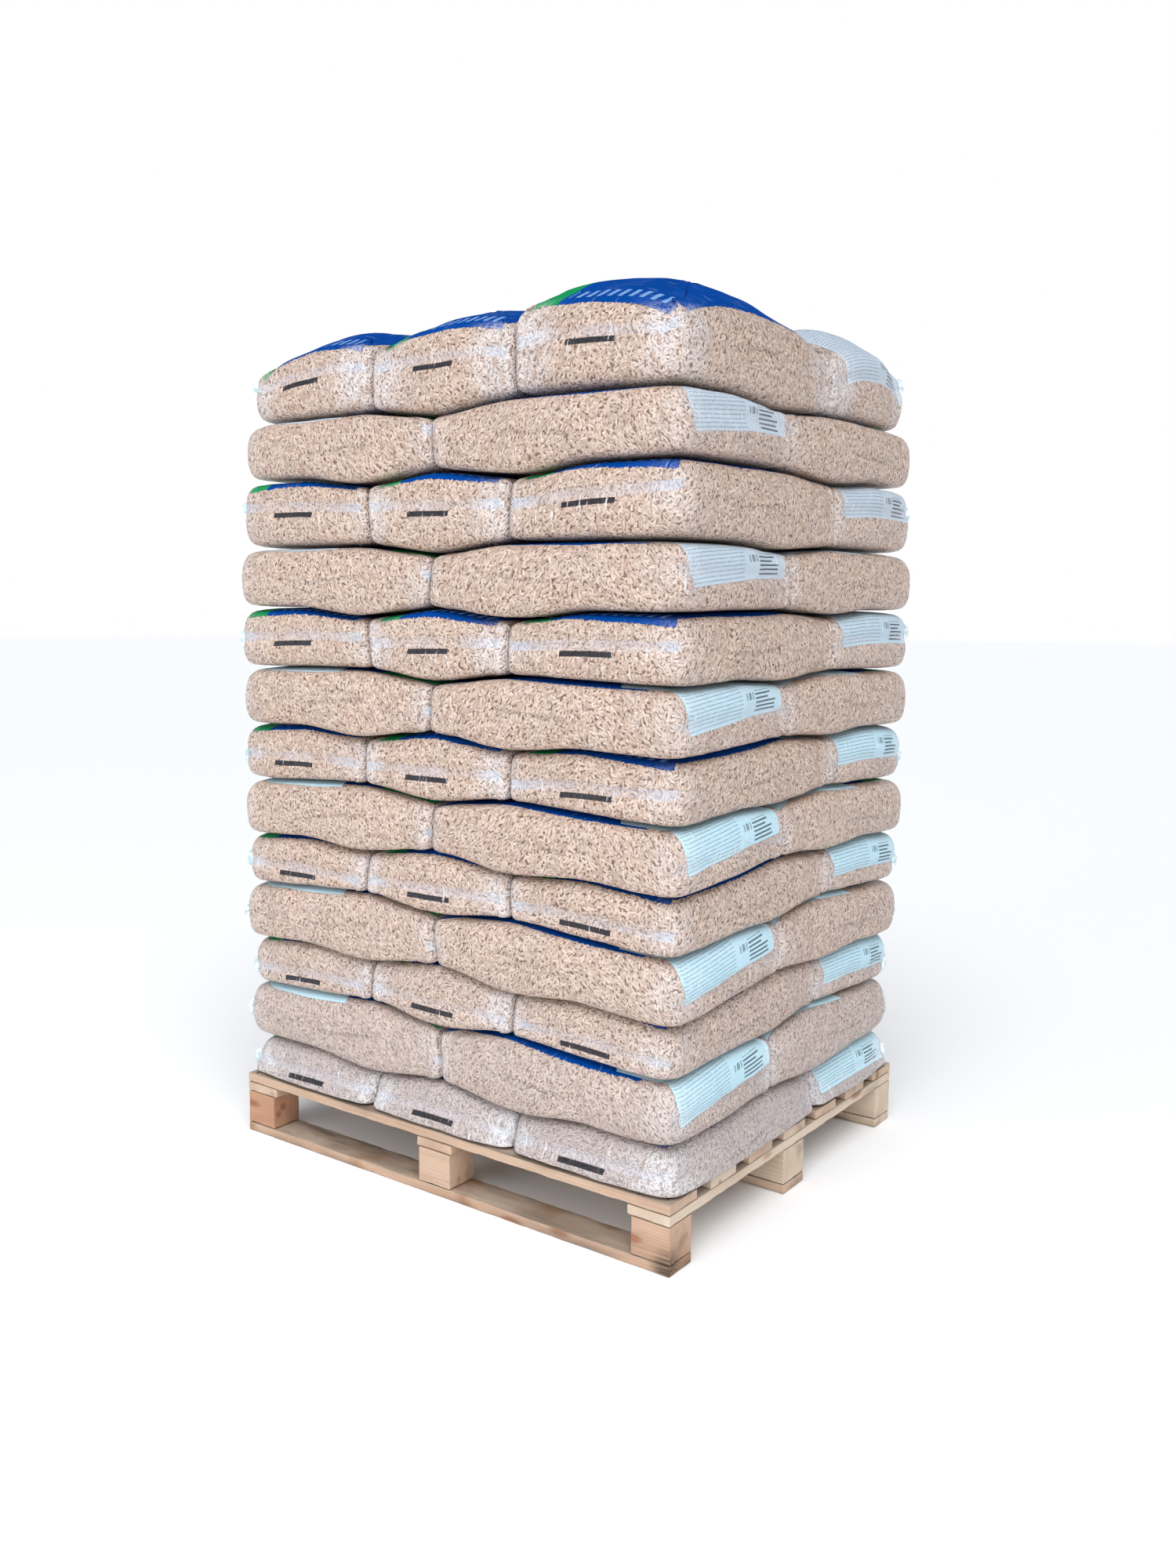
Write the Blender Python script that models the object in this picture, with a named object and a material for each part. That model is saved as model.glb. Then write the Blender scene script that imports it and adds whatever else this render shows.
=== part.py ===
# A loaded pallet of sacks: a block pallet of 22 sawn pieces, and 65 filled
# sacks lying on it in 13 layers of five. Every board and block is its own
# object. The sacks share one object for each layer, a closed solid with the
# gaps between its five sacks cut into its faces. Metres, +Z up, origin on the
# floor under the middle of the pallet, +X along its long side.

import bmesh
import bpy

# Space left between two pieces that touch
CONTACT_GAP = 0.0003
# Two places closer than this are the same one
SAME_PLACE = 1e-6

# Pallet: plan, board and block sizes
PALLET_X = 1.200
PALLET_Y = 1.000
BOARD_Z = 0.022
BLOCK_Z = 0.078
DECK_BOARDS = 7
DECK_BOARD_Y = 0.100
STRINGER_X = 0.100
BLOCK_X = 0.090
OUTER_ROW_Y = 0.080
MIDDLE_ROW_Y = 0.092
SAWN_EDGE = 0.0015

BLOCK_TOP = BOARD_Z + BLOCK_Z
STRINGER_TOP = BLOCK_TOP + BOARD_Z
DECK_TOP = STRINGER_TOP + BOARD_Z

# Sacks: each layer has a row of three across and a row of two lengthways
SACK_LENGTH = 0.600
SACK_WIDTH = 0.400
SEAM_X = SACK_WIDTH / 2
ROW_SEAM_Y = SACK_LENGTH - PALLET_Y / 2

# Height of the top of each layer but the last at the middle of the load, from
# the bottom layer up, and how far that face has sunk at the load's corners
LAYER_TOPS = (0.245, 0.402, 0.525, 0.652, 0.765, 0.884, 1.002, 1.122, 1.246, 1.372, 1.516, 1.645)
CORNER_SINK = (0.020, 0.052, 0.064, 0.060, 0.055, 0.045, 0.034, 0.022, 0.010, 0.004, 0.000, 0.004)
# How far each layer reaches to the left, to the right and to both long sides
LAYER_REACH = (
    (0.590, 0.590, 0.482),
    (0.620, 0.605, 0.497),
    (0.600, 0.600, 0.497),
    (0.610, 0.615, 0.512),
    (0.600, 0.612, 0.507),
    (0.600, 0.620, 0.517),
    (0.605, 0.615, 0.507),
    (0.590, 0.620, 0.520),
    (0.600, 0.618, 0.512),
    (0.595, 0.620, 0.517),
    (0.590, 0.615, 0.507),
    (0.575, 0.612, 0.507),
    (0.562, 0.595, 0.490),
)
TOP_LAYER = len(LAYER_REACH) - 1

# Rounded side of a layer: its flat face ends this far in from the reach, above
# and below, and at the load's corners further in by CORNER_IN. Rings lie on the
# side at these shares of the way down, each standing out by its share of the
# shoulder
UPPER_SHOULDER = 0.026
LOWER_SHOULDER = 0.020
TOP_SHOULDER = 0.042
CORNER_IN = 0.014
SIDE_RINGS = ((0.07, 0.58), (0.24, 0.93), (0.50, 1.0), (0.76, 0.93), (0.93, 0.58))

# The V-shaped gap between two sacks of a layer
GAP_HALF_WIDTH = 0.026
GAP_DEPTH = 0.018
NOTCH_DEPTH = 0.023

# Waves of the face between two layers: it rises in the middle of the sacks
# below and dips over their seams; and, as shares of the sink, how far it has
# sunk at places out from the middle of the load
SACK_RISE = 0.008
SEAM_DIP = 0.012
RISE_X = SACK_WIDTH
RISE_Y = 0.300
SINK_ALONG_X = ((0.0, 0.0), (SEAM_X, 0.06), (RISE_X, 0.22), (PALLET_X / 2, 0.5))
SINK_ALONG_Y = ((0.0, 0.0), (ROW_SEAM_Y, 0.0), (RISE_Y, 0.2), (PALLET_Y / 2, 0.5))

# Top layer: each sack is a pillow of its own. For each: height of its edge, its
# slope to the right, its crown above the edge, the place of its crest from -1 at
# its left to 1 at its right, how square it is at its left and right, and how
# far the load's corners drop
FRONT_PILLOWS = (
    (1.772, 0.110, 0.084, 0.0, 2.4, 2.4, 0.090),
    (1.785, 0.057, 0.078, 0.0, 2.4, 2.4, 0.0),
    (1.788, -0.073, 0.098, -0.1, 6.5, 2.4, 0.045),
)
REAR_PILLOWS = (
    (1.785, 0.0, 0.078, 0.0, 2.4, 2.4, 0.060),
    (1.768, 0.0, 0.101, 0.35, 1.6, 2.4, 0.120),
)
SEAM_CORNER_DROP = 0.012
CORNER_DROP_POWER = 3
ALONG_POWER = 2.4

# Colours as linear red, green and blue
PINE = (0.62, 0.42, 0.24)
GREY_PINE = (0.48, 0.36, 0.24)
PELLETS = (0.50, 0.32, 0.20)
WOOD_ROUGHNESS = 0.75
FILM_ROUGHNESS = 0.35


def clear_scene():
    for thing in list(bpy.data.objects):
        bpy.data.objects.remove(thing, do_unlink=True)


def principled(name, colour, roughness):
    material = bpy.data.materials.new(name)
    material.use_nodes = True
    shader = material.node_tree.nodes["Principled BSDF"]
    shader.inputs["Base Color"].default_value = (*colour, 1.0)
    shader.inputs["Roughness"].default_value = roughness
    return material


def add_object(name, shape, material):
    """Turns a finished bmesh into an object of that name."""
    mesh = bpy.data.meshes.new(name)
    shape.to_mesh(mesh)
    shape.free()
    mesh.materials.append(material)
    thing = bpy.data.objects.new(name, mesh)
    bpy.context.scene.collection.objects.link(thing)
    return thing


def sawn_piece(name, centre, size, colour):
    """A board or block with its sawn edges broken, its top clear of what lies on it."""
    shape = bmesh.new()
    bmesh.ops.create_cube(shape, size=1.0)
    bmesh.ops.scale(shape, vec=(size[0], size[1], size[2] - CONTACT_GAP), verts=shape.verts)
    bmesh.ops.bevel(shape, geom=shape.edges[:], offset=SAWN_EDGE, segments=1, affect="EDGES")
    piece = add_object(name, shape, principled(name, colour, WOOD_ROUGHNESS))
    piece.location = (centre[0], centre[1], centre[2] - CONTACT_GAP / 2)


def spread(count, span):
    """Centres of a count of pieces at an even pitch over a span."""
    return [span * (index / (count - 1) - 0.5) for index in range(count)]


def build_pallet():
    """Three boards on the floor, nine blocks, three stringers across them and the deck."""
    outer_y = (PALLET_Y - OUTER_ROW_Y) / 2
    rows = (("front", -outer_y, OUTER_ROW_Y), ("middle", 0.0, MIDDLE_ROW_Y), ("rear", outer_y, OUTER_ROW_Y))
    columns = ("left", "middle", "right")
    for row, y, width in rows:
        sawn_piece(f"bottom_board_{row}", (0.0, y, BOARD_Z / 2), (PALLET_X, width, BOARD_Z), PINE)
        for column, x in zip(columns, spread(3, PALLET_X - BLOCK_X)):
            centre = (x, y, BOARD_Z + BLOCK_Z / 2)
            sawn_piece(f"block_{row}_{column}", centre, (BLOCK_X, width, BLOCK_Z), PINE)
    for column, x in zip(columns, spread(3, PALLET_X - STRINGER_X)):
        centre = (x, 0.0, BLOCK_TOP + BOARD_Z / 2)
        sawn_piece(f"stringer_{column}", centre, (STRINGER_X, PALLET_Y, BOARD_Z), PINE)
    for number, y in enumerate(spread(DECK_BOARDS, PALLET_Y - DECK_BOARD_Y), 1):
        centre = (0.0, y, STRINGER_TOP + BOARD_Z / 2)
        sawn_piece(f"deck_board_{number}", centre, (PALLET_X, DECK_BOARD_Y, BOARD_Z), GREY_PINE)


def between(knots, place):
    """Value at a place on straight lines through (place, value) knots, in order, level past both ends."""
    place = max(place, knots[0][0])
    for (start, low), (end, high) in zip(knots, knots[1:]):
        if place <= end:
            return low + (high - low) * (place - start) / (end - start)
    return knots[-1][1]


def three_in_front(layer):
    """Layers are turned round one after the other, so that the sacks bind each other."""
    return layer % 2 == 0


def row_seam(layer):
    """Where the two rows of a layer meet: the sacks of the row of three lie across."""
    return ROW_SEAM_Y if three_in_front(layer) else -ROW_SEAM_Y


def layer_top(layer, x, y):
    """Height of the wavy face between a layer and the next; below the lowest it is the deck."""
    if layer < 0:
        return DECK_TOP
    rises = ((-RISE_X, SACK_RISE), (0.0, SACK_RISE), (RISE_X, SACK_RISE))
    dips = ((-SEAM_X, -SEAM_DIP), (SEAM_X, -SEAM_DIP))
    three = sorted(rises + dips)
    two = ((-SEAM_X, SACK_RISE), (0.0, -SEAM_DIP), (SEAM_X, SACK_RISE))
    front, rear = (three, two) if three_in_front(layer) else (two, three)
    seam = row_seam(layer)
    front_wave = between(front, x)
    rear_wave = between(rear, x)
    to_rear = min(max((y / ROW_SEAM_Y + 1.0) / 2, 0.0), 1.0)
    wave = front_wave + (rear_wave - front_wave) * to_rear
    wave -= between(((0.0, SEAM_DIP), (RISE_Y - ROW_SEAM_Y, 0.0)), abs(y - seam))
    sink = between(SINK_ALONG_X, abs(x)) + between(SINK_ALONG_Y, abs(y))
    return LAYER_TOPS[layer] + wave - CORNER_SINK[layer] * sink


def on_gap(layer, x, y):
    """True where a gap between two sacks of the layer runs."""
    past_seam = y - row_seam(layer)
    if abs(past_seam) < SAME_PLACE:
        return True
    in_three = (past_seam < 0) == three_in_front(layer)
    return abs(abs(x) - SEAM_X) < SAME_PLACE if in_three else abs(x) < SAME_PLACE


def top_pillows():
    """The five sacks of the top layer: their bounds in plan and the values of their shape."""
    left, right, half = LAYER_REACH[TOP_LAYER]
    seam = row_seam(TOP_LAYER)
    columns = (-left, -SEAM_X, SEAM_X, right)
    front = [(low, high, -half, seam, values) for low, high, values in zip(columns, columns[1:], FRONT_PILLOWS)]
    columns = (-left, 0.0, right)
    rear = [(low, high, seam, half, values) for low, high, values in zip(columns, columns[1:], REAR_PILLOWS)]
    return front + rear


def pillow_height(x, y, pillow):
    """Height of the upper face of one sack of the top layer."""
    low_x, high_x, low_y, high_y, values = pillow
    edge, slope, rise, crest, left_power, right_power, corner_drop = values
    to_right = (2 * x - low_x - high_x) / (high_x - low_x)
    to_rear = (2 * y - low_y - high_y) / (high_y - low_y)
    if to_right > crest:
        fall = ((to_right - crest) / (1 - crest)) ** right_power
    else:
        fall = ((crest - to_right) / (1 + crest)) ** left_power
    left, right, half = LAYER_REACH[TOP_LAYER]
    corner_x = high_x if to_right > 0 else low_x
    corner_y = high_y if to_rear > 0 else low_y
    at_load_corner = corner_x in (-left, right) and abs(corner_y) == half
    drop = corner_drop if at_load_corner else SEAM_CORNER_DROP
    edge += slope * to_right * (high_x - low_x) / 2 - drop * abs(to_right * to_rear) ** CORNER_DROP_POWER
    return edge + rise * (1 - fall) * (1 - abs(to_rear) ** ALONG_POWER)


def top_height(x, y):
    """Height of the top layer's upper face; over a seam it is the mean of the sacks that meet there."""
    heights = []
    for pillow in top_pillows():
        low_x, high_x, low_y, high_y = pillow[:4]
        inside_x = low_x - SAME_PLACE < x < high_x + SAME_PLACE
        if inside_x and low_y - SAME_PLACE < y < high_y + SAME_PLACE:
            at_x = min(max(x, low_x), high_x)
            at_y = min(max(y, low_y), high_y)
            heights.append(pillow_height(at_x, at_y, pillow))
    return sum(heights) / len(heights)


def grid_lines(low, high, seams, rise):
    """Lines of a layer's grid along one axis: its shoulders, its waves, and both sides of each gap."""
    gap_sides = [seam + side * GAP_HALF_WIDTH for seam in seams for side in (-1, 1)]
    return sorted((low, high, -rise, rise, *seams, *gap_sides))


def upper_height(layer, x, y):
    gap = GAP_DEPTH if on_gap(layer, x, y) else 0.0
    if layer == TOP_LAYER:
        return top_height(x, y) - gap
    return layer_top(layer, x, y) - CONTACT_GAP / 2 - gap


def lower_height(layer, x, y):
    gap = GAP_DEPTH if on_gap(layer, x, y) else 0.0
    return layer_top(layer - 1, x, y) + CONTACT_GAP / 2 + gap


def outline(columns, rows):
    """The grid's outer crossings in order, each with its outward direction; a corner has three."""
    last_i, last_j = columns - 1, rows - 1
    slant = 0.5 ** 0.5
    steps = []
    steps += [(i, 0, 0.0, -1.0) for i in range(columns)] + [(last_i, 0, slant, -slant)]
    steps += [(last_i, j, 1.0, 0.0) for j in range(rows)] + [(last_i, last_j, slant, slant)]
    steps += [(i, last_j, 0.0, 1.0) for i in reversed(range(columns))] + [(0, last_j, -slant, slant)]
    steps += [(0, j, -1.0, 0.0) for j in reversed(range(rows))] + [(0, 0, -slant, -slant)]
    return steps


def sheet_faces(shape, corners, columns, rows):
    """Fills a grid with triangles, all cut the same way, so that two layers match face to face."""
    faces = []
    for i in range(columns - 1):
        for j in range(rows - 1):
            near, far = corners[i, j], corners[i + 1, j + 1]
            faces.append(shape.faces.new((near, corners[i + 1, j], far)))
            faces.append(shape.faces.new((near, far, corners[i, j + 1])))
    return faces


def band_faces(shape, upper_loop, lower_loop):
    """Joins two loops of the side; where a loop stands still the face is a triangle."""
    count = len(upper_loop)
    for index in range(count):
        following = (index + 1) % count
        ring = [upper_loop[index], lower_loop[index], lower_loop[following], upper_loop[following]]
        shape.faces.new(list(dict.fromkeys(ring)))


def round_the_crowns(shape, faces):
    """Halves every edge of the top layer's upper face, so that its pillows are round."""
    edges = list({edge for face in faces for edge in face.edges})
    made = bmesh.ops.subdivide_edges(shape, edges=edges, cuts=1, use_grid_fill=True)
    for corner in made["geom_inner"]:
        if isinstance(corner, bmesh.types.BMVert):
            corner.co.z = upper_height(TOP_LAYER, corner.co.x, corner.co.y)


def face_grid(layer, shoulder):
    """Crossings of the grid of a layer's face, and how many lines it has each way."""
    left, right, half = LAYER_REACH[layer]
    xs = grid_lines(shoulder - left, right - shoulder, (-SEAM_X, 0.0, SEAM_X), RISE_X)
    ys = grid_lines(shoulder - half, half - shoulder, (-ROW_SEAM_Y, ROW_SEAM_Y), RISE_Y)
    last_i, last_j = len(xs) - 1, len(ys) - 1
    places = {}
    for i, x in enumerate(xs):
        for j, y in enumerate(ys):
            inward = CORNER_IN if i in (0, last_i) and j in (0, last_j) else 0.0
            x_in = inward if i == 0 else -inward
            y_in = inward if j == 0 else -inward
            places[i, j] = (x + x_in, y + y_in)
    return places, len(xs), len(ys)


def build_layer(layer):
    """One layer of five sacks: wavy upper and lower faces, joined by a rounded side."""
    upper_shoulder = TOP_SHOULDER if layer == TOP_LAYER else UPPER_SHOULDER
    upper_places, columns, rows = face_grid(layer, upper_shoulder)
    lower_places, columns, rows = face_grid(layer, LOWER_SHOULDER)
    upper = {key: (*place, upper_height(layer, *place)) for key, place in upper_places.items()}
    lower = {key: (*place, lower_height(layer, *place)) for key, place in lower_places.items()}
    shape = bmesh.new()
    top = {key: shape.verts.new(place) for key, place in upper.items()}
    bottom = {key: shape.verts.new(place) for key, place in lower.items()}
    steps = outline(columns, rows)
    loops = [[top[i, j] for i, j, _, _ in steps]]
    for down, out_share in SIDE_RINGS:
        ring = []
        for i, j, out_x, out_y in steps:
            above, below = upper[i, j], lower[i, j]
            start, shoulder = (above, upper_shoulder) if down <= 0.5 else (below, LOWER_SHOULDER)
            out = shoulder * out_share
            if on_gap(layer, *start[:2]):
                out -= NOTCH_DEPTH * out_share
            z = above[2] + (below[2] - above[2]) * down
            ring.append(shape.verts.new((start[0] + out_x * out, start[1] + out_y * out, z)))
        loops.append(ring)
    loops.append([bottom[i, j] for i, j, _, _ in steps])
    top_faces = sheet_faces(shape, top, columns, rows)
    sheet_faces(shape, bottom, columns, rows)
    for upper_loop, lower_loop in zip(loops, loops[1:]):
        band_faces(shape, upper_loop, lower_loop)
    if layer == TOP_LAYER:
        round_the_crowns(shape, top_faces)
    bmesh.ops.recalc_face_normals(shape, faces=shape.faces)
    name = f"sack_layer_{layer + 1:02d}"
    sacks = add_object(name, shape, principled(name, PELLETS, FILM_ROUGHNESS))
    sacks.data.shade_smooth()


clear_scene()
build_pallet()
for each_layer in range(len(LAYER_REACH)):
    build_layer(each_layer)
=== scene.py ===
# %% [markdown]
# # A pallet of filled sacks
# The object is a wooden block pallet with 65 clear film sacks of wood pellets
# on it, thirteen layers of five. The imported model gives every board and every
# layer of sacks its true place. This script gives them their looks: each sack
# becomes a soft pillow of its own, and the wood gets its sawn grain. Sizes are
# in metres, x runs to the right, y to the rear and z up.

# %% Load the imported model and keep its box
import math

import bmesh
import bpy
import numpy as np
from mathutils import Matrix, Vector


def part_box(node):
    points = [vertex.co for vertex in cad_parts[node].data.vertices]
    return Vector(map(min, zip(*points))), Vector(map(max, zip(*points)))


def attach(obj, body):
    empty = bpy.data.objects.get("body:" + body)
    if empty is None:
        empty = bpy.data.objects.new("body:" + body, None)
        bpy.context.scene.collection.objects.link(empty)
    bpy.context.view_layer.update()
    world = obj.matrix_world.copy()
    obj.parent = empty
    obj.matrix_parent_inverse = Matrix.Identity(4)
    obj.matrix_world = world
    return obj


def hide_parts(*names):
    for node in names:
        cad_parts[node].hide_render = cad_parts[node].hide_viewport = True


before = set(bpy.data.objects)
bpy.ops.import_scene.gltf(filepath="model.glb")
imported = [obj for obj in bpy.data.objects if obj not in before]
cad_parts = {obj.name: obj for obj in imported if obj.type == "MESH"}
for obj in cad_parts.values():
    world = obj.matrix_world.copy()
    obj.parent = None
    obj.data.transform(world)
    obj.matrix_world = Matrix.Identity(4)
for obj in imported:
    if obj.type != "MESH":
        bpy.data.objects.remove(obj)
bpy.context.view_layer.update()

# %% [markdown]
# ## Small tools
# Colours are picked as sRGB hex values, the way an image editor shows them,
# but Blender's shaders work in linear light, so one function turns them.
# Another adds a node with its settings and its links in one call. The others
# build what the materials repeat: products and sums of shares, soft steps
# from one value to another, and coats of colour laid over one another.

# %% Colours and nodes
def linear(hex_colour):
    """An sRGB hex colour as the linear values that shaders use."""
    channels = [int(hex_colour[start:start + 2], 16) / 255 for start in (1, 3, 5)]
    return tuple(c / 12.92 if c <= 0.04045 else ((c + 0.055) / 1.055) ** 2.4 for c in channels) + (1.0,)


def add_node(tree, kind, sockets=(), **settings):
    """Adds a node: settings are its properties, sockets its inputs in order or by key, as values or links."""
    node = tree.nodes.new(kind)
    for name, value in settings.items():
        setattr(node, name, value)
    for socket, value in sockets.items() if isinstance(sockets, dict) else enumerate(sockets):
        if isinstance(value, bpy.types.NodeSocket):
            tree.links.new(value, node.inputs[socket])
        else:
            node.inputs[socket].default_value = value
    return node


def times(tree, *shares):
    """The product of several shares."""
    product = shares[0]
    for share in shares[1:]:
        product = add_node(tree, "ShaderNodeMath", (product, share), operation="MULTIPLY").outputs[0]
    return product


def summed(tree, start, *parts, clamp=False):
    """A start value and further parts, each with its weight, added up; clamp keeps the sum from 0 to 1."""
    settings = {"operation": "MULTIPLY_ADD", "use_clamp": clamp}
    for part, weight in parts:
        start = add_node(tree, "ShaderNodeMath", (part, weight, start), **settings).outputs[0]
    return start


def painted(tree, colour, *coats):
    """Coats over a first colour: each is a share and the colour that shows where the share is 1."""
    for share, over in coats:
        colour = add_node(tree, "ShaderNodeMix", {0: share, 6: colour, 7: over}, data_type="RGBA").outputs[2]
    return colour


def soft_steps(tree, *steps):
    """The product of soft steps: each a value, where it begins and ends to step, and what from and to."""
    shares = []
    for step in steps:
        share = add_node(tree, "ShaderNodeMapRange", step, interpolation_type="SMOOTHSTEP").outputs[0]
        shares.append(share)
    return times(tree, *shares)


def new_material(name):
    """An empty material and its node tree, with the output and a Principled shader joined."""
    material = bpy.data.materials.new(name)
    material.use_nodes = True
    tree = material.node_tree
    tree.nodes.clear()
    output = tree.nodes.new("ShaderNodeOutputMaterial")
    shader = tree.nodes.new("ShaderNodeBsdfPrincipled")
    tree.links.new(shader.outputs[0], output.inputs["Surface"])
    return material, tree, shader


print("white as linear:", linear("#ffffff"))

# %% [markdown]
# ## Camera
# The view is the photograph's: the near corner of the load towards the
# camera, which stands at chest height and looks down a little. Its place was
# fitted to the corners of the pallet, whose size is known.

# %% Camera
IMAGE_HEIGHT = 2000
FOCAL_PIXELS = 1730
SENSOR_MM = 36.0
CAMERA_PLACE = Vector((1.895, -2.539, 1.275))
CAMERA_YAW = math.radians(36.20)
CAMERA_DOWN = math.radians(7.86)
CAMERA_ROLL = math.radians(0.38)


def camera_axes():
    """Right, up and backward directions of the camera."""
    ahead = Vector((-math.sin(CAMERA_YAW), math.cos(CAMERA_YAW), 0)) * math.cos(CAMERA_DOWN)
    ahead.z = -math.sin(CAMERA_DOWN)
    level = Vector((math.cos(CAMERA_YAW), math.sin(CAMERA_YAW), 0))
    above = level.cross(ahead)
    right = level * math.cos(CAMERA_ROLL) + above * math.sin(CAMERA_ROLL)
    up = above * math.cos(CAMERA_ROLL) - level * math.sin(CAMERA_ROLL)
    return right, up, -ahead


camera_data = bpy.data.cameras.new("camera")
camera_data.sensor_fit = "VERTICAL"
camera_data.sensor_height = SENSOR_MM
camera_data.lens = FOCAL_PIXELS * SENSOR_MM / IMAGE_HEIGHT
camera_data.clip_end = 200
camera = bpy.data.objects.new("camera", camera_data)
turned = Matrix(camera_axes()).transposed().to_4x4()
camera.matrix_world = Matrix.Translation(CAMERA_PLACE) @ turned
bpy.context.scene.collection.objects.link(camera)
bpy.context.scene.camera = camera
print("lens", round(camera_data.lens, 2), "mm")

# %% [markdown]
# ## How the layers lie
# The load is cross-stacked: one layer has three sacks across the front and
# two lengthways behind, the next is turned round. The faces between layers
# are waves, high in the middle of each sack below and low over its seams, and
# the whole stack sinks towards its corners. The same few values as in the
# CAD are used, but eased, so that the film has no kinks.

# %% Driving values of the load
LAYERS = 13
TOP_LAYER = LAYERS - 1
DECK_TOP = 0.144
SACK_LENGTH = 0.600
SACK_WIDTH = 0.400
SEAM_X = 0.200
ROW_SEAM_Y = 0.100
HALF_X = 0.600
HALF_Y = 0.500
LAYER_TOPS = (0.245, 0.402, 0.525, 0.652, 0.765, 0.884, 1.002, 1.122, 1.246, 1.372, 1.516, 1.645)
CORNER_SINK = (0.020, 0.052, 0.064, 0.060, 0.055, 0.045, 0.034, 0.022, 0.010, 0.004, 0.000, 0.004)
SACK_RISE = 0.008
SEAM_DIP = 0.012
RISE_X = 0.400
RISE_Y = 0.300
SINK_POWER_X = 2.1
SINK_POWER_Y = 1.8
TOP_SEAM_CORNER_DROP = 0.012
CORNER_DROP_POWER = 3
ALONG_POWER = 2.4
# For each top sack: height of its edge, slope to the right, crown above the edge, place of the crest
# from -1 at its left to 1 at its right, how square it is at its left and right, drop at outer corners.
TOP_SACKS = {
    "front_left": (1.772, 0.110, 0.084, 0.0, 2.4, 2.4, 0.090),
    "front_middle": (1.785, 0.057, 0.078, 0.0, 2.4, 2.4, 0.0),
    "front_right": (1.788, -0.073, 0.098, -0.1, 6.5, 2.4, 0.045),
    "rear_left": (1.785, 0.0, 0.078, 0.0, 2.4, 2.4, 0.060),
    "rear_right": (1.768, 0.0, 0.101, 0.35, 1.6, 2.4, 0.120),
}


def eased(knots, place):
    """Value at a place on smooth steps through (place, value) knots."""
    places = np.array([knot[0] for knot in knots])
    values = np.array([knot[1] for knot in knots])
    index = np.clip(np.searchsorted(places, place) - 1, 0, len(places) - 2)
    share = np.clip((place - places[index]) / (places[index + 1] - places[index]), 0, 1)
    share = share * share * (3 - 2 * share)
    return values[index] + (values[index + 1] - values[index]) * share


def three_in_front(layer):
    """Whether a layer has its row of three sacks in front."""
    return layer % 2 == 0


def row_seam(layer):
    """Where the two rows of a layer meet."""
    return ROW_SEAM_Y if three_in_front(layer) else -ROW_SEAM_Y


def layer_top(layer, x, y):
    """Height of the face between a layer and the next; below the lowest it is the deck."""
    if layer < 0:
        return np.full(np.shape(x), DECK_TOP)
    rises = [(place, SACK_RISE) for place in (-RISE_X, 0.0, RISE_X)]
    dips = [(-SEAM_X, -SEAM_DIP), (SEAM_X, -SEAM_DIP)]
    three = eased(sorted(rises + dips), x)
    two = eased([(-SEAM_X, SACK_RISE), (0.0, -SEAM_DIP), (SEAM_X, SACK_RISE)], x)
    front, rear = (three, two) if three_in_front(layer) else (two, three)
    to_rear = np.clip((y / ROW_SEAM_Y + 1) / 2, 0, 1)
    wave = front + (rear - front) * to_rear
    wave = wave - eased([(0.0, SEAM_DIP), (RISE_Y - ROW_SEAM_Y, 0.0)], abs(y - row_seam(layer)))
    sink = (abs(x) / HALF_X) ** SINK_POWER_X / 2 + (abs(y) / HALF_Y) ** SINK_POWER_Y / 2
    return LAYER_TOPS[layer] + wave - CORNER_SINK[layer] * sink


def layer_reach(layer):
    """How far a layer reaches to the left, right, front and rear, read from its CAD solid."""
    low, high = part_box(f"sack_layer_{layer + 1:02d}")
    return low[0], high[0], low[1], high[1]


print("lowest layer reaches", [round(value, 3) for value in layer_reach(0)])

# %% [markdown]
# ## The 65 sacks
# Each sack has a printed face up, one plain end with a seal across it and one
# end with a label that wraps over from the top. Crosswise sacks show their
# plain end, lengthwise sacks their label.

# %% List of the sacks
# From this layer up, the left seam of a row of three lies this far to the right.
SHIFTED_FROM = 8
SEAM_SHIFT = 0.020


def sack_list():
    """Every sack: its name, layer, plan corners, which sides are outer and where its label end points."""
    sacks = []
    for layer in range(LAYERS):
        left, right, front, rear = layer_reach(layer)
        seam = row_seam(layer)
        for row, low_y, high_y in (("front", front, seam), ("rear", seam, rear)):
            in_three = (row == "front") == three_in_front(layer)
            left_seam = SEAM_SHIFT - SEAM_X if layer >= SHIFTED_FROM else -SEAM_X
            bounds = (left, left_seam, SEAM_X, right) if in_three else (left, 0.0, right)
            columns = ("left", "middle", "right") if in_three else ("left", "right")
            for column, low_x, high_x in zip(columns, bounds, bounds[1:]):
                if in_three:
                    label_way = (0, 1) if row == "front" else (0, -1)
                else:
                    label_way = (1, 0) if column == "right" else (-1, 0)
                sacks.append({
                    "name": f"sack_{layer + 1:02d}_{row}_{column}",
                    "layer": layer,
                    "corners": (low_x, low_y, high_x, high_y),
                    "outer": (row == "front", column == "right", row == "rear", column == "left"),
                    "label_way": label_way,
                })
    return sacks


sacks = sack_list()
print(len(sacks), "sacks")

# %% [markdown]
# ## Shape of a filled sack
# A sack full of pellets is a pillow pressed flat above and below. Its plan is
# a rectangle with round corners, and its side is a superellipse: nearly
# upright, then turning in quickly to the flat it rests on. So the mesh is
# made from columns round the outline and rows down the side, closed by rings
# that shrink to one point in the middle of each face. Outer sides get fine
# steps, and hidden ones coarse steps.

# %% Outline of a sack
FINE_STEP = 0.0075
COARSE_STEP = 0.032
OUTER_CORNER = 0.050
SEAM_CORNER = 0.027
FOOT_CORNER = 0.032
SEAM_SPACE = 0.0012
SIDE_BOW = 0.007


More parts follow.
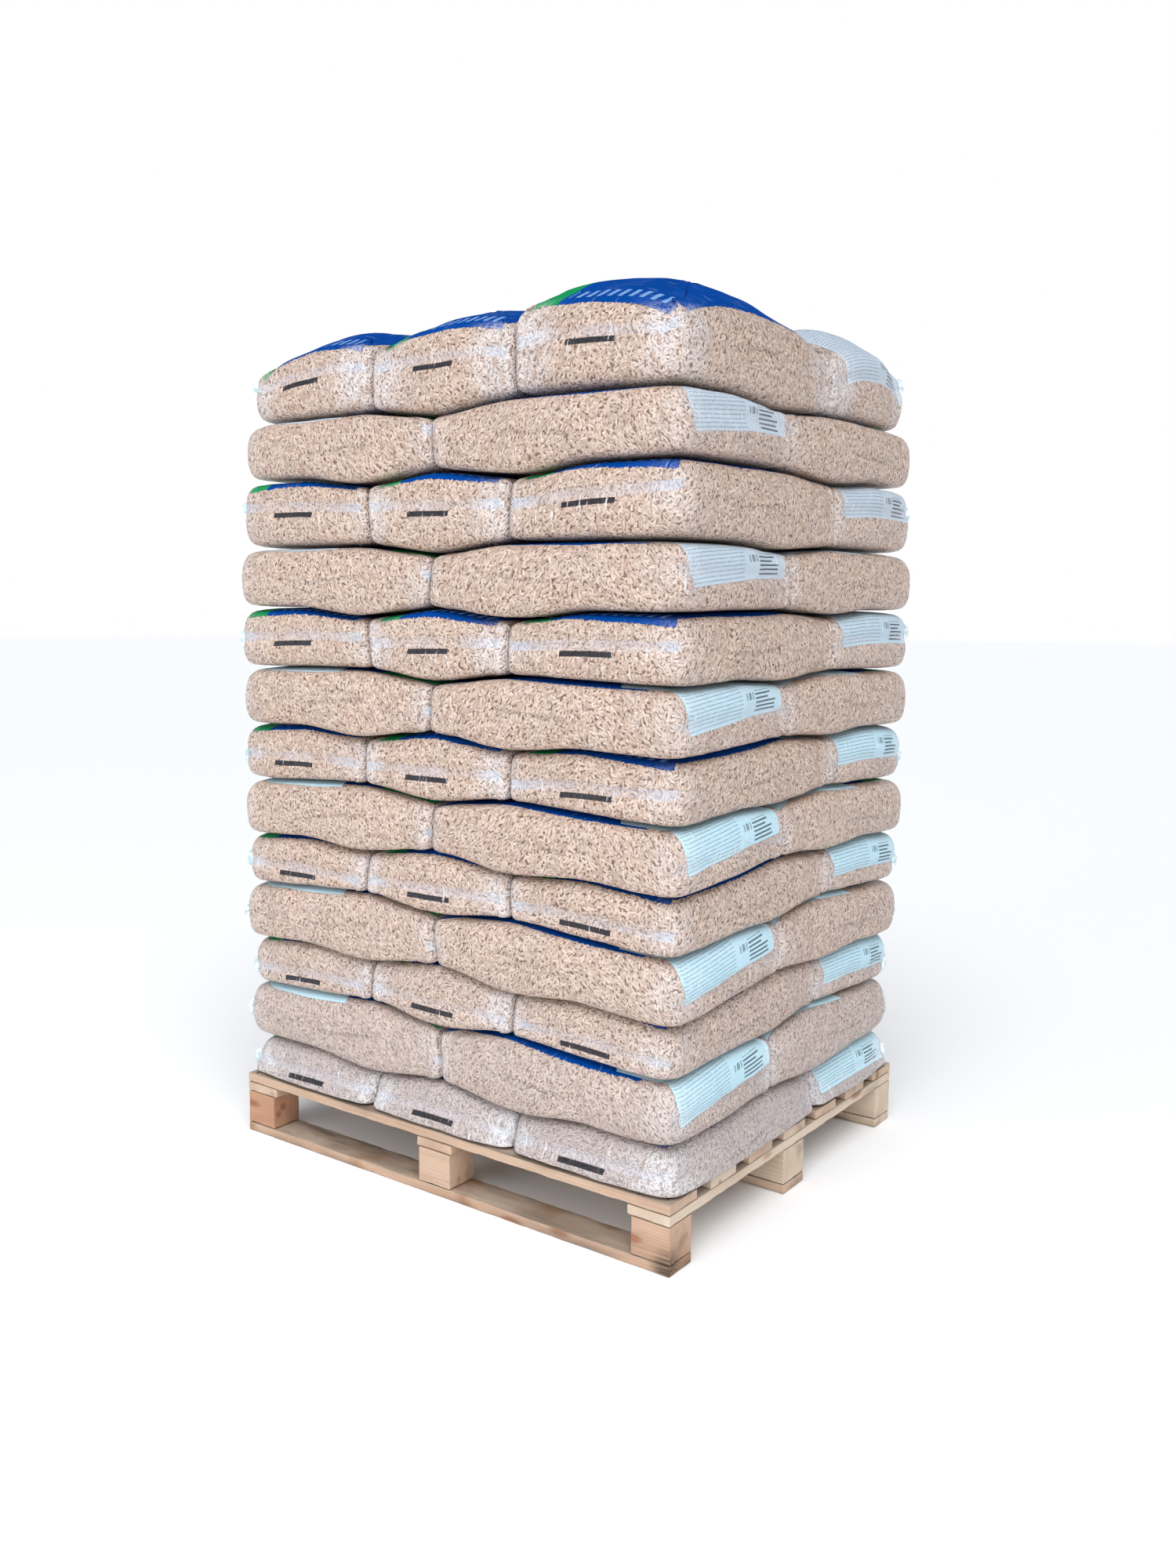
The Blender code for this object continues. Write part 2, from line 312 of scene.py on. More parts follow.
def straight_side(start, end, outer):
    """Points along one side of the outline, bowed out in its middle when it is an outer side."""
    span = end - start
    length = float(np.hypot(*span))
    steps = max(2, round(length / (FINE_STEP if outer else COARSE_STEP)))
    shares = np.linspace(0, 1, steps, endpoint=False)
    outward = np.array((span[1], -span[0])) / length
    bow = SIDE_BOW * (2 * shares - 1) ** 2 if outer else 0 * shares
    places = start + span * shares[:, None] - outward * bow[:, None]
    return places, np.repeat(outward[None], steps, 0)


def outline_of(sack):
    """Places, outward directions and outer shares of the columns, anticlockwise from the front left."""
    low_x, low_y, high_x, high_y = sack["corners"]
    outer = sack["outer"]
    space = [0.0 if is_outer else SEAM_SPACE for is_outer in outer]
    low_y, high_x, high_y, low_x = low_y + space[0], high_x - space[1], high_y - space[2], low_x + space[3]
    corners = ((low_x, low_y), (high_x, low_y), (high_x, high_y), (low_x, high_y))
    along = ((1, 0), (0, 1), (-1, 0), (0, -1))
    outer_radius = OUTER_CORNER if sack["layer"] else FOOT_CORNER
    radii = [outer_radius if outer[side - 1] and outer[side] else SEAM_CORNER for side in range(4)]
    places, normals, shares = [], [], []
    for side in range(4):
        next_side = (side + 1) % 4
        radius = radii[next_side]
        way = np.array(along[side], float)
        start = np.array(corners[side]) + way * radii[side]
        end = np.array(corners[next_side]) - way * radius
        side_places, side_normals = straight_side(start, end, outer[side])
        places.append(side_places)
        normals.append(side_normals)
        shares.append(np.full(len(side_places), float(outer[side])))
        fine = outer[side] or outer[next_side]
        steps = max(3, round(radius * math.pi / 2 / (FINE_STEP if fine else COARSE_STEP)))
        turn = np.linspace(0, math.pi / 2, steps, endpoint=False)
        out = np.array((way[1], -way[0]))
        inner = end - out * radius
        bow_in = SIDE_BOW * (outer[side] * (1 - np.sin(turn)) + outer[next_side] * np.sin(turn))
        direction = out * np.cos(turn)[:, None] + way * np.sin(turn)[:, None]
        places.append(inner + direction * (radius - bow_in)[:, None])
        normals.append(direction)
        shares.append(outer[side] + (float(outer[next_side]) - outer[side]) * turn / (math.pi / 2))
    return np.concatenate(places), np.concatenate(normals), np.concatenate(shares)


print("fine step", FINE_STEP * 1000, "mm")

# %% Side and shoulders of a sack
FINE_ROWS = 24
FACE_SHOULDER = 0.024
OUTER_CORNER_SHOULDER = 0.042
SEAM_CORNER_SHOULDER = 0.026
SEAM_SHOULDER = 0.014
LOWER_SHARE = 0.75
FOOT_SHARE = 0.30
FOOT_REACH = 0.027
UPPER_SHARE = 1.15
TOP_UPPER_SHARE = 1.8
SEAM_LEAN = 0.009
CORNER_SPREAD = 0.075
OUTER_POWER = 2.4
SEAM_POWER = 4.0
SIDE_SAMPLES = 721
CORNER_CORE = 0.4


def even_heights(rows, power, shoulder, half):
    """Shares of the half height, from -1 to 1, that lie evenly along the side."""
    turn = np.linspace(-math.pi / 2, math.pi / 2, SIDE_SAMPLES)
    up = np.sign(turn) * np.abs(np.sin(turn)) ** (2 / power)
    out = np.cos(turn).clip(0) ** (2 / power)
    run = np.concatenate(([0], np.cumsum(np.hypot(np.diff(out) * shoulder, np.diff(up) * half))))
    return np.interp(np.linspace(0, run[-1], rows), run, up)


def corner_nearness(sack, place, outer_corners):
    """1 at a corner of the sack's plan, falling to 0 along its sides; for outer or for all corners."""
    low_x, low_y, high_x, high_y = sack["corners"]
    corners = ((low_x, low_y), (high_x, low_y), (high_x, high_y), (low_x, high_y))
    nearness = np.zeros(len(place))
    for side, corner in enumerate(corners):
        sides = (sack["outer"][side - 1], sack["outer"][side])
        if all(sides) or (any(sides) and not outer_corners):
            away = (np.linalg.norm(place - np.array(corner), axis=1) - OUTER_CORNER * CORNER_CORE).clip(0)
            nearness = np.maximum(nearness, np.exp(-(away / CORNER_SPREAD) ** 2))
    return nearness


def shoulders(sack, place, outer):
    """How far in from the outline the sack turns flat, at each column."""
    base = SEAM_SHOULDER + (FACE_SHOULDER - SEAM_SHOULDER) * outer
    any_corner = corner_nearness(sack, place, False)
    outer_corner = corner_nearness(sack, place, True)
    widest = SEAM_CORNER_SHOULDER + (OUTER_CORNER_SHOULDER - SEAM_CORNER_SHOULDER) * outer_corner
    return base + (widest - base).clip(0) * np.maximum(any_corner, outer_corner) * outer


print("side of a sack in", FINE_ROWS, "rows")

# %% [markdown]
# The top layer is free above, so its sacks are crowned like pillows. All
# other faces are shared with the layer above or below, a hair apart.

# %% Upper and lower face of a sack
FACE_SPACE = 0.0006


def upper_face(sack, x, y):
    """Height of a sack's top: the face that it shares with the layer above, or the crown of a top sack."""
    if sack["layer"] < TOP_LAYER:
        return layer_top(sack["layer"], x, y) - FACE_SPACE
    low_x, low_y, high_x, high_y = sack["corners"]
    front, right, rear, left = sack["outer"]
    to_right = ((2 * x - low_x - high_x) / (high_x - low_x)).clip(-1, 1)
    to_rear = ((2 * y - low_y - high_y) / (high_y - low_y)).clip(-1, 1)
    row_and_column = sack["name"].split("_", 2)[2]
    edge, slope, crown, crest, left_power, right_power, corner_drop = TOP_SACKS[row_and_column]
    past_crest, before_crest = (to_right - crest) / (1 - crest), (crest - to_right) / (1 + crest)
    from_crest = np.where(to_right > crest, past_crest, before_crest)
    power = np.where(to_right > crest, right_power, left_power)
    at_outer_corner = np.where(to_right > 0, right, left) * np.where(to_rear > 0, rear, front)
    drop = np.where(at_outer_corner, corner_drop, TOP_SEAM_CORNER_DROP)
    drop = drop * abs(to_right * to_rear) ** CORNER_DROP_POWER
    edge = edge + slope * to_right * (high_x - low_x) / 2 - drop
    return edge + crown * (1 - from_crest ** power) * (1 - abs(to_rear) ** ALONG_POWER)


def lower_face(sack, x, y):
    """Height of a sack's underside: the face that it shares with the layer below, or the deck."""
    return layer_top(sack["layer"] - 1, x, y) + FACE_SPACE

# %% Rows of a sack, from the middle of its underside to the middle of its top
HIDDEN_RINGS = 3
SHOWN_RINGS = 20
SMOOTHINGS = 5
FOOT_POWER = 1.5


def row_lean(sack, x):
    """How far the upright faces near a seam lean to the right at their top; both neighbours lean alike."""
    left, right = layer_reach(sack["layer"])[:2]
    chance = np.random.default_rng([sack["layer"], sack["outer"][0]])
    if (sack["outer"][0] == 1) == three_in_front(sack["layer"]):
        knots, leans = (left, -SEAM_X, SEAM_X, right), (0, *chance.uniform(-SEAM_LEAN, SEAM_LEAN, 2), 0)
    else:
        knots, leans = (left, 0, right), (0, chance.uniform(-SEAM_LEAN, SEAM_LEAN), 0)
    return np.interp(x, knots, leans)


def leaned(sack, flat, up):
    """Plan places moved with the seams' lean; up is -1 at the sack's underside and 1 at its top."""
    moved = flat.copy()
    moved[..., 0] += row_lean(sack, flat[..., 0]) * up
    return moved


def sack_grid(sack):
    """Columns by rows of places, with what the materials need to know at each."""
    place, normal, outer = outline_of(sack)
    shoulder = shoulders(sack, place, outer)
    in_top = sack["layer"] == TOP_LAYER
    on_deck = sack["layer"] == 0
    low_shoulder = shoulder * (FOOT_SHARE if on_deck else LOWER_SHARE)
    foot = FOOT_REACH * outer if on_deck else 0 * outer
    high_shoulder = shoulder * (TOP_UPPER_SHARE if in_top else UPPER_SHARE)
    power = (SEAM_POWER + (OUTER_POWER - SEAM_POWER) * outer)[:, None]
    low_rim = leaned(sack, place - normal * (low_shoulder - foot)[:, None], -1)
    high_rim = leaned(sack, place - normal * high_shoulder[:, None], 1)
    low, high = lower_face(sack, *low_rim.T), upper_face(sack, *high_rim.T)
    up = even_heights(FINE_ROWS, OUTER_POWER, FACE_SHOULDER, float(np.mean(high - low)) / 2)[None]
    out = (1 - abs(up) ** power).clip(0) ** (1 / power)
    inward = np.where(up < 0, low_shoulder[:, None], high_shoulder[:, None]) * (1 - out)
    inward = inward - foot[:, None] * ((1 - up) / 2) ** FOOT_POWER
    side = leaned(sack, place[:, None] - normal[:, None] * inward[..., None], up)
    side_z = ((low + high) / 2)[:, None] + ((high - low) / 2)[:, None] * up
    centre = low_rim.mean(0)
    rings = SHOWN_RINGS if in_top else HIDDEN_RINGS
    shares_up = np.linspace(1, 0, rings, endpoint=False)[1:]
    shares_down = np.linspace(1, 0, HIDDEN_RINGS, endpoint=False)[1:][::-1]
    under = centre + (low_rim - centre)[:, None] * shares_down[None, :, None]
    over = centre + (high_rim - centre)[:, None] * shares_up[None, :, None]
    under_z = lower_face(sack, under[..., 0], under[..., 1])
    over_z = upper_face(sack, over[..., 0], over[..., 1])
    flat = np.concatenate((under, side, over), 1)
    height = np.concatenate((under_z, side_z, over_z), 1)
    grid = np.concatenate((flat, height[..., None]), 2)
    for _ in range(SMOOTHINGS):
        grid[:, 1:-1] = grid[:, 1:-1] / 2 + (grid[:, :-2] + grid[:, 2:]) / 4
    first, last = under.shape[1], under.shape[1] + side.shape[1] - 1
    middle_low = np.array((*centre, float(lower_face(sack, *centre[:, None])[0])))
    middle_high = np.array((*centre, float(upper_face(sack, *centre[:, None])[0])))
    return grid, normal, outer, first, last, middle_low, middle_high


first_grid = sack_grid(sacks[0])[0]
print("columns and rows of the first sack:", first_grid.shape[:2])

# %% [markdown]
# ## What the film needs to know
# The print is laid out as on the flat bag: metres along the sack and across
# it, running on over the edge and down the side. The pellets behind the film
# use a second map that runs round the side without stretching. Five values
# are stored with the points: how far a point is below the seal of its end,
# how free it is of its neighbours, how close it is to a pinched corner,
# which end it is on, and how low in the stack its sack lies.

# %% Maps and values of a sack
# How far down its end a seal lies, as a share of the side, by layer; the stretch of the print likewise.
SEAL_SHARES = ((0, 0.57), (2, 0.58), (4, 0.57), (6, 0.54), (8, 0.49), (10, 0.46), (12, 0.38))
CROSS_SPREADS = ((0, 1.07), (2, 1.055), (4, 1.033), (6, 0.997), (8, 0.963), (10, 0.965))
LONG_SPREADS = ((1, 0.94), (3, 0.998), (7, 0.998), (9, 0.98), (11, 0.975))
LENGTH_SPREAD = 0.965
WIDTH_SPREAD = 0.97
TOP_WIDTH_SPREAD = 1.12
SEAL_TILT = 0.008
PINCH_REACH = 0.055
TOP_PRINT_SHIFT = 0.014
FOLD_POWER = 3
FREE_POWER = 4
PINCH_POWER = 3
FREE_TOP_ROWS = 4
# Each sack reads its own place in the patterns, this far on from the last one's.
MAP_STEP = 3.17
seeded = np.random.default_rng(11)


def print_spread(layer, lengthwise):
    """How much the print is spread along and across a sack: below 1 it comes further over the edges."""
    if layer == TOP_LAYER:
        return np.array((1.0, TOP_WIDTH_SPREAD if lengthwise else 1.0))
    if lengthwise:
        return np.array((LENGTH_SPREAD, np.interp(layer, *zip(*LONG_SPREADS))))
    return np.array((np.interp(layer, *zip(*CROSS_SPREADS)), WIDTH_SPREAD))


def sack_maps(sack, grid, normal, outer, first, last, number):
    """Print map, film map and point values on the grid of a sack."""
    low_x, low_y, high_x, high_y = sack["corners"]
    centre = np.array(((low_x + high_x) / 2, (low_y + high_y) / 2))
    way = np.array(sack["label_way"], float)
    side_way = np.array((way[1], -way[0]))
    step = np.linalg.norm(np.diff(grid, axis=1), axis=2)
    run = np.concatenate((np.zeros((len(grid), 1)), np.cumsum(step, 1)), 1)
    drop = run[:, last:last + 1] - run
    rim = grid[:, last, :2]
    local = np.stack(((grid[..., :2] - centre) @ way, (grid[..., :2] - centre) @ side_way), 2)
    rim_local = np.stack(((rim - centre) @ way, (rim - centre) @ side_way), 1)[:, None]
    length, width = abs(np.array((high_x - low_x, high_y - low_y)) @ np.stack((way, side_way), 1))
    fitted = np.array((SACK_LENGTH / length, SACK_WIDTH / width))
    fitted = fitted * print_spread(sack["layer"], abs(way[0]) == 1)
    outward = np.stack((normal @ way, normal @ side_way), 1)[:, None]
    outward = np.sign(outward) * (abs(outward) / abs(outward).max(2, keepdims=True)) ** FOLD_POWER
    # Down a side, the print runs on from the rim; along it, each point keeps its own place.
    beside = local + (rim_local - local) * abs(outward)
    on_side = np.arange(grid.shape[1]) <= last
    printed = np.where(on_side[None, :, None], beside * fitted + outward * drop[..., None], local * fitted)
    if sack["layer"] == TOP_LAYER and way[0]:
        printed[..., 1] += TOP_PRINT_SHIFT
    belt = grid[:, (first + last) // 2, :2]
    around = np.concatenate(([0], np.cumsum(np.linalg.norm(np.diff(belt, axis=0), axis=1))))
    closing = float(np.linalg.norm(belt[0] - belt[-1]))
    facing = (normal @ way)[:, None] * np.ones(grid.shape[1])
    side_length = drop[:, first:first + 1]
    level = 1 - sack["layer"] / TOP_LAYER
    seal_share = np.interp(sack["layer"], *zip(*SEAL_SHARES))
    tilt = seeded.uniform(-SEAL_TILT, SEAL_TILT)
    below_seal = drop - side_length * seal_share - tilt * printed[..., 1] / (SACK_WIDTH / 2)
    rows = np.arange(grid.shape[1])
    up = np.clip((rows - first) / (last - first), 0, 1)
    free = outer[:, None] * (1 - abs(2 * up - 1) ** FREE_POWER)[None]
    if sack["layer"] == TOP_LAYER:
        top_free = np.where(rows > last - FREE_TOP_ROWS, 1.0, 0.0)[None] * np.ones((len(grid), 1))
        free = np.maximum(free, top_free)
    corner_places = rim_corner_distance(grid[:, last, :2], sack)
    pinch = np.exp(-(corner_places / PINCH_REACH) ** 2)[:, None] * (1 - abs(2 * up - 1) ** PINCH_POWER)[None]
    offset = number * MAP_STEP
    # How low a sack lies drives the painted reflection in its veil, its label and its glints.
    return {
        "print": printed, "around": around + offset, "closing": closing, "run": run, "offset": offset,
        "local": local + offset, "below_seal": below_seal, "free": free, "pinch": pinch, "facing": facing,
        "low_in_stack": np.full(facing.shape, level),
    }


def rim_corner_distance(rim, sack):
    """Distance in plan from the nearest corner of the sack's rectangle, less the rounding."""
    low_x, low_y, high_x, high_y = sack["corners"]
    corners = np.array(((low_x, low_y), (high_x, low_y), (high_x, high_y), (low_x, high_y)))
    away = np.linalg.norm(rim[:, None] - corners[None], axis=2).min(1)
    return (away - OUTER_CORNER_SHOULDER).clip(0)


print("print of the lowest layer is spread by", print_spread(0, False))

# %% [markdown]
# The mesh takes the grid as four-sided faces, closed by a fan of triangles at
# each pole. The seals draw the ends in a little, and the places where they
# end at a corner of the load are kept for the tabs further down.

# %% Mesh of a sack
SEAL_PINCH = 0.006
SEAL_PINCH_REACH = 0.014
END_FROM = 0.6
END_FADE = 0.3


def tab_places(sack, grid, normal, maps, first, last):
    """Where the seals end at an outer corner of the load, and the plan direction that each points in."""
    front, right, rear, left = sack["outer"]
    tabs = []
    for way, is_outer in (((-1, -1), front and left), ((1, 1), rear and right), ((-1, 1), rear and left)):
        if is_outer:
            way = np.array(way) / math.sqrt(2)
            column = int((normal @ way).argmax())
            row = first + int(abs(maps["below_seal"][column, first:last]).argmin())
            tabs.append((grid[column, row], way))
    return tabs


def sack_mesh(sack, number):
    """The closed mesh of one sack with its two maps and its point values."""
    grid, normal, outer, first, last, middle_low, middle_high = sack_grid(sack)
    maps = sack_maps(sack, grid, normal, outer, first, last, number)
    on_end = np.clip((abs(maps["facing"]) - END_FROM) / END_FADE, 0, 1) * outer[:, None]
    drawn_in = SEAL_PINCH * on_end * np.exp(-(maps["below_seal"] / SEAL_PINCH_REACH) ** 2)
    grid[..., :2] -= normal[:, None] * drawn_in[..., None]
    sack["tabs"] = tab_places(sack, grid, normal, maps, first, last)
    columns, rows = grid.shape[:2]
    places = np.concatenate((grid.reshape(-1, 3), middle_low[None], middle_high[None]))
    low_pole, high_pole = columns * rows, columns * rows + 1
    faces = []
    film = []
    around = np.append(maps["around"], maps["around"][-1] + maps["closing"])
    for column in range(columns):
        for row in range(rows - 1):
            ring = ((column, row), (column + 1, row), (column + 1, row + 1), (column, row + 1))
            faces.append([step % columns * rows + level for step, level in ring])
            for step, level in ring:
                if first - 1 <= row < last:
                    film.append((around[step], maps["run"][step % columns, level]))
                else:
                    film.append(tuple(maps["local"][step % columns, level]))
    for column in range(columns):
        for pole, row, order in ((low_pole, 0, (1, 0)), (high_pole, rows - 1, (0, 1))):
            pair = [(column + order[0]) % columns, (column + order[1]) % columns]
            faces.append([pair[0] * rows + row, pair[1] * rows + row, pole])
            film += [tuple(maps["local"][each, row]) for each in pair] + [(maps["offset"], maps["offset"])]
    mesh = bpy.data.meshes.new(sack["name"])
    mesh.from_pydata(places.tolist(), [], faces)
    print_ends = maps["print"][:, (0, -1)].mean(0)
    flat_print = np.concatenate((maps["print"].reshape(-1, 2), print_ends))
    corners = np.empty(len(mesh.loops), np.int32)
    mesh.loops.foreach_get("vertex_index", corners)
    mesh.uv_layers.new(name="film").data.foreach_set("uv", np.array(film, np.float32).ravel())
    mesh.uv_layers.new(name="print").data.foreach_set("uv", flat_print[corners].astype(np.float32).ravel())
    for name in ("below_seal", "free", "pinch", "facing", "low_in_stack"):
        values = np.concatenate((maps[name].ravel(), maps[name][:, (0, -1)].mean(0)))
        mesh.attributes.new(name, "FLOAT", "POINT").data.foreach_set("value", values.astype(np.float32))
    mesh.shade_smooth()
    return mesh


sack_objects = []
for number, sack in enumerate(sacks):
    piece = bpy.data.objects.new(sack["name"], sack_mesh(sack, number))
    bpy.context.scene.collection.objects.link(piece)
    sack_objects.append(piece)
print("triangles in all sacks:", sum(2 * len(piece.data.polygons) for piece in sack_objects))

# %% [markdown]
# ## Pellets behind clear film
# Wood pellets are pressed sawdust: little rods 6 mm thick and up to 30 mm
# long, tan. They lie flat against the film, and the gaps between them are
# darkened to a brown as painted shade. One layer of rods is a Voronoi
# pattern: every cell draws one rod across its point, turned by the cell's
# random colour. Four layers over one another fill the face, and the highest
# rod wins.

# %% Node group: one layer of rods
# A rod shows only in part between its neighbours, so the drawn ones are shorter than real ones.
ROD_THICKNESS = 0.0053
SHORT_ROD = 0.0075
LONG_ROD = 0.0160
ROD_CELL = 0.0099
ROD_LIFT = 0.0033
ROD_END = (-0.0011, 0.0002)
ROD_SCATTER = 0.95
SWIRL_SIZE = 0.055
# How far the rods turn along a swirl, and each on its own, in radians.
SWIRL_TURN = 9.0
STRAY_TURN = 1.7
LEAST_BODY = 0.02
SHADE_SHUFFLE = 7.31


def rod_group():
    """Draws rods on a flat map in metres: their height, how far in from a rod's rim, and a shade."""
    group = bpy.data.node_groups.new("rods_on_a_map", "ShaderNodeTree")
    group.interface.new_socket("Place", in_out="INPUT", socket_type="NodeSocketVector")
    group.interface.new_socket("Shift", in_out="INPUT", socket_type="NodeSocketFloat")
    for name in ("Height", "Body", "Shade"):
        group.interface.new_socket(name, in_out="OUTPUT", socket_type="NodeSocketFloat")
    given = add_node(group, "NodeGroupInput").outputs
    shift = add_node(group, "ShaderNodeCombineXYZ", (given["Shift"], given["Shift"])).outputs[0]
    place = add_node(group, "ShaderNodeVectorMath", (given["Place"], shift), operation="ADD").outputs[0]
    sockets = {"Vector": place, "Scale": 1 / ROD_CELL, "Randomness": ROD_SCATTER}
    cell = add_node(group, "ShaderNodeTexVoronoi", sockets, voronoi_dimensions="2D").outputs
    sockets = (place, cell["Position"])
    away = add_node(group, "ShaderNodeVectorMath", sockets, operation="SUBTRACT").outputs[0]
    chance = add_node(group, "ShaderNodeSeparateColor", (cell["Color"],)).outputs
    sockets = {"Vector": cell["Position"], "Scale": 1 / SWIRL_SIZE, "Detail": 0.0}
    swirl = add_node(group, "ShaderNodeTexNoise", sockets, noise_dimensions="2D").outputs[0]
    angle = summed(group, times(group, chance[0], STRAY_TURN), (swirl, SWIRL_TURN))
    sockets = {"Vector": away, "Angle": angle}
    rod = add_node(group, "ShaderNodeVectorRotate", sockets, rotation_type="Z_AXIS").outputs[0]
    rod_at = add_node(group, "ShaderNodeSeparateXYZ", (rod,)).outputs
    across = add_node(group, "ShaderNodeMath", (rod_at[1], ROD_THICKNESS / 2), operation="DIVIDE").outputs[0]
    under_round = summed(group, 1.0, (times(group, across, across), -1.0), clamp=True)
    round_top = add_node(group, "ShaderNodeMath", (under_round,), operation="SQRT").outputs[0]
    reach = summed(group, SHORT_ROD / 2, (chance[1], (LONG_ROD - SHORT_ROD) / 2))
    length_at = add_node(group, "ShaderNodeMath", (rod_at[0],), operation="ABSOLUTE").outputs[0]
    past_end = summed(group, length_at, (reach, -1.0))
    body = times(group, round_top, soft_steps(group, (past_end, *ROD_END, 1.0, 0.0)))
    on_rod = add_node(group, "ShaderNodeMath", (body, LEAST_BODY), operation="GREATER_THAN").outputs[0]
    lift = times(group, on_rod, chance[2], ROD_LIFT)
    height = summed(group, lift, (body, ROD_THICKNESS / 2))
    shuffled = times(group, chance[2], SHADE_SHUFFLE)
    shade = add_node(group, "ShaderNodeMath", (shuffled,), operation="FRACT").outputs[0]
    add_node(group, "NodeGroupOutput", {"Height": height, "Body": body, "Shade": shade})
    return group


rods = rod_group()
print("rods drawn", ROD_THICKNESS * 1000, "by", SHORT_ROD * 1000, "to", LONG_ROD * 1000, "mm")

# %% [markdown]
# The rods lie in a heap: four layers of the group above, each moved on a
# little, of which the highest shows at every point. Painted shade darkens
# each rod towards its rim into the brown of the gaps, and deeper rods a
# little too.

# %% Heap of rods
TANS = ("#b19786", "#c0a796", "#cdb5a6", "#dbc6b8")
# Painted shade: the gaps between rods, their rims and deeper rods darken towards this brown.
PAINTED_GAP_SHADE = "#72574a"
ROD_SHIFTS = (0.0, 0.417, 0.831, 1.293)


def heap_of_rods(tree, film):
    """Layers of rods: the height of the highest one, and its colour, with painted shade at its rim and in the
    gaps.
    """
    height = body = shade = None
    for shift in ROD_SHIFTS:
        one = add_node(tree, "ShaderNodeGroup", {"Place": film, "Shift": shift}, node_tree=rods).outputs
        if height is None:
            height, body, shade = one["Height"], one["Body"], one["Shade"]
            continue
        wins = add_node(tree, "ShaderNodeMath", (one["Height"], height), operation="GREATER_THAN").outputs[0]
        shade = add_node(tree, "ShaderNodeMix", {0: wins, 2: shade, 3: one["Shade"]}).outputs[0]
        body = add_node(tree, "ShaderNodeMix", {0: wins, 2: body, 3: one["Body"]}).outputs[0]
        height = add_node(tree, "ShaderNodeMath", (height, one["Height"]), operation="MAXIMUM").outputs[0]
    tan = add_node(tree, "ShaderNodeValToRGB", (shade,))
    stops = tan.color_ramp.elements
    for index, colour in enumerate(TANS):
        stop = stops[index] if index < 2 else stops.new(0.5)
        stop.position = index / (len(TANS) - 1)
        stop.color = linear(colour)
    # Painted shade: the tan gives way to the gap brown at a rod's rim, and lower rods are darker.
    unshaded_share = soft_steps(tree, (body, 0.0, 0.55), (height, 0.0005, 0.0042, 0.80, 1.0))
    return height, painted(tree, linear(PAINTED_GAP_SHADE), (unshaded_share, tan.outputs[0]))


print(len(ROD_SHIFTS), "layers of rods in", len(TANS), "tans")

# %% [markdown]
# ## Film and print
# The film itself is polyethylene, blown thin and clear: glossy, with a milky
# veil where it is creased or doubled, above all at the corners and along the
# seal. The Principled shader's coat is that gloss: it lies over the rods like
# the film does. A pattern on the film is a share from 0 to 1, worked out from
# its maps. That keeps each edge sharp from near by, where an image would blur,
# and each size is a value that can be changed.

# %% Shapes on a map
MARK_EDGE = 0.001


def inside(tree, value, low, high, edge):
    """1 where a value lies between low and high, with soft edges."""
    return soft_steps(tree, (value, low - edge, low + edge), (value, high - edge, high + edge, 1.0, 0.0))


def field(tree, along, across, span, spread, edge):
    """A rectangle of the print, by its span along the sack and its spread across it."""
    return times(tree, inside(tree, along, *span, edge), inside(tree, across, *spread, edge))


def stretched_noise(tree, place, scale, detail, stretch=(1.0, 1.0, 1.0)):
    """Noise on a map, stretched along one of its ways."""
    placed = add_node(tree, "ShaderNodeMapping", {"Vector": place, "Scale": stretch}).outputs[0]
    sockets = {"Vector": placed, "Scale": scale, "Detail": detail}
    return add_node(tree, "ShaderNodeTexNoise", sockets).outputs[0]


def rows_of(tree, value, per_metre, low, high, soft):
    """Thin parallel rows: 1 on a row and 0 between, a row lying from low to high of its share of the way."""
    step = add_node(tree, "ShaderNodeMath", (times(tree, value, per_metre),), operation="FRACT").outputs[0]
    return inside(tree, step, low, high, soft)


print("edge of a printed mark", MARK_EDGE * 1000, "mm")

# %% [markdown]
# The top of a sack is printed deep blue, with a green corner and a row of
# plain pale bars. The ink is laid on thick, so its rim is a little ragged.

# %% Printed panel
BLUE = "#05489d"
DARK_BLUE = "#033b86"
GREEN = "#148a52"
PALE_INK = "#9cc6ef"
# Places on the print, in metres. Along it, the label end is positive; across it, the right-hand side
# of one who looks from above towards that end.
PANEL_ALONG = (-0.287, 0.200)
PANEL_ACROSS = (-0.161, 0.180)
PANEL_EDGE = 0.0008
PRINT_RAGGED = 0.012
GREEN_SLANT = 0.10
GREEN_SIDE = (-0.0663, -0.0657)
GREEN_END = (-0.126, -0.124)
BARS_ALONG = (-0.262, -0.226)
BARS_ACROSS = (-0.083, 0.145)
BARS_PER_METRE = 42.0


def print_colour(tree, at, film, patches):
    """Blue panel with a green corner and a row of plain pale bars, and where it lies."""
    ragged = summed(tree, -PRINT_RAGGED / 2, (stretched_noise(tree, film, 150.0, 1.0), PRINT_RAGGED))
    length_at = summed(tree, at[0], (ragged, 1.0))
    width_at = summed(tree, at[1], (ragged, 1.0))
    panel = field(tree, length_at, width_at, PANEL_ALONG, PANEL_ACROSS, PANEL_EDGE)
    blue = painted(tree, linear(DARK_BLUE), (patches, linear(BLUE)))
    slant = summed(tree, at[1], (at[0], -GREEN_SLANT))
    green = soft_steps(tree, (slant, *GREEN_SIDE, 1.0, 0.0), (at[0], *GREEN_END, 1.0, 0.0))
    bars = times(
        tree,
        field(tree, at[0], at[1], BARS_ALONG, BARS_ACROSS, MARK_EDGE),
        rows_of(tree, at[1], BARS_PER_METRE, 0.2, 0.62, 0.05),
        0.55,
    )
    return panel, painted(tree, blue, (green, linear(GREEN)), (bars, linear(PALE_INK)))


print("panel along", PANEL_ALONG, "and across", PANEL_ACROSS)

# %% [markdown]
# The label is a pale field that starts on the top and hangs down over the
# end, with rows of fine grey lines and a block of bolder ones.

# %% Label
LABEL_PALE = "#bad9e6"
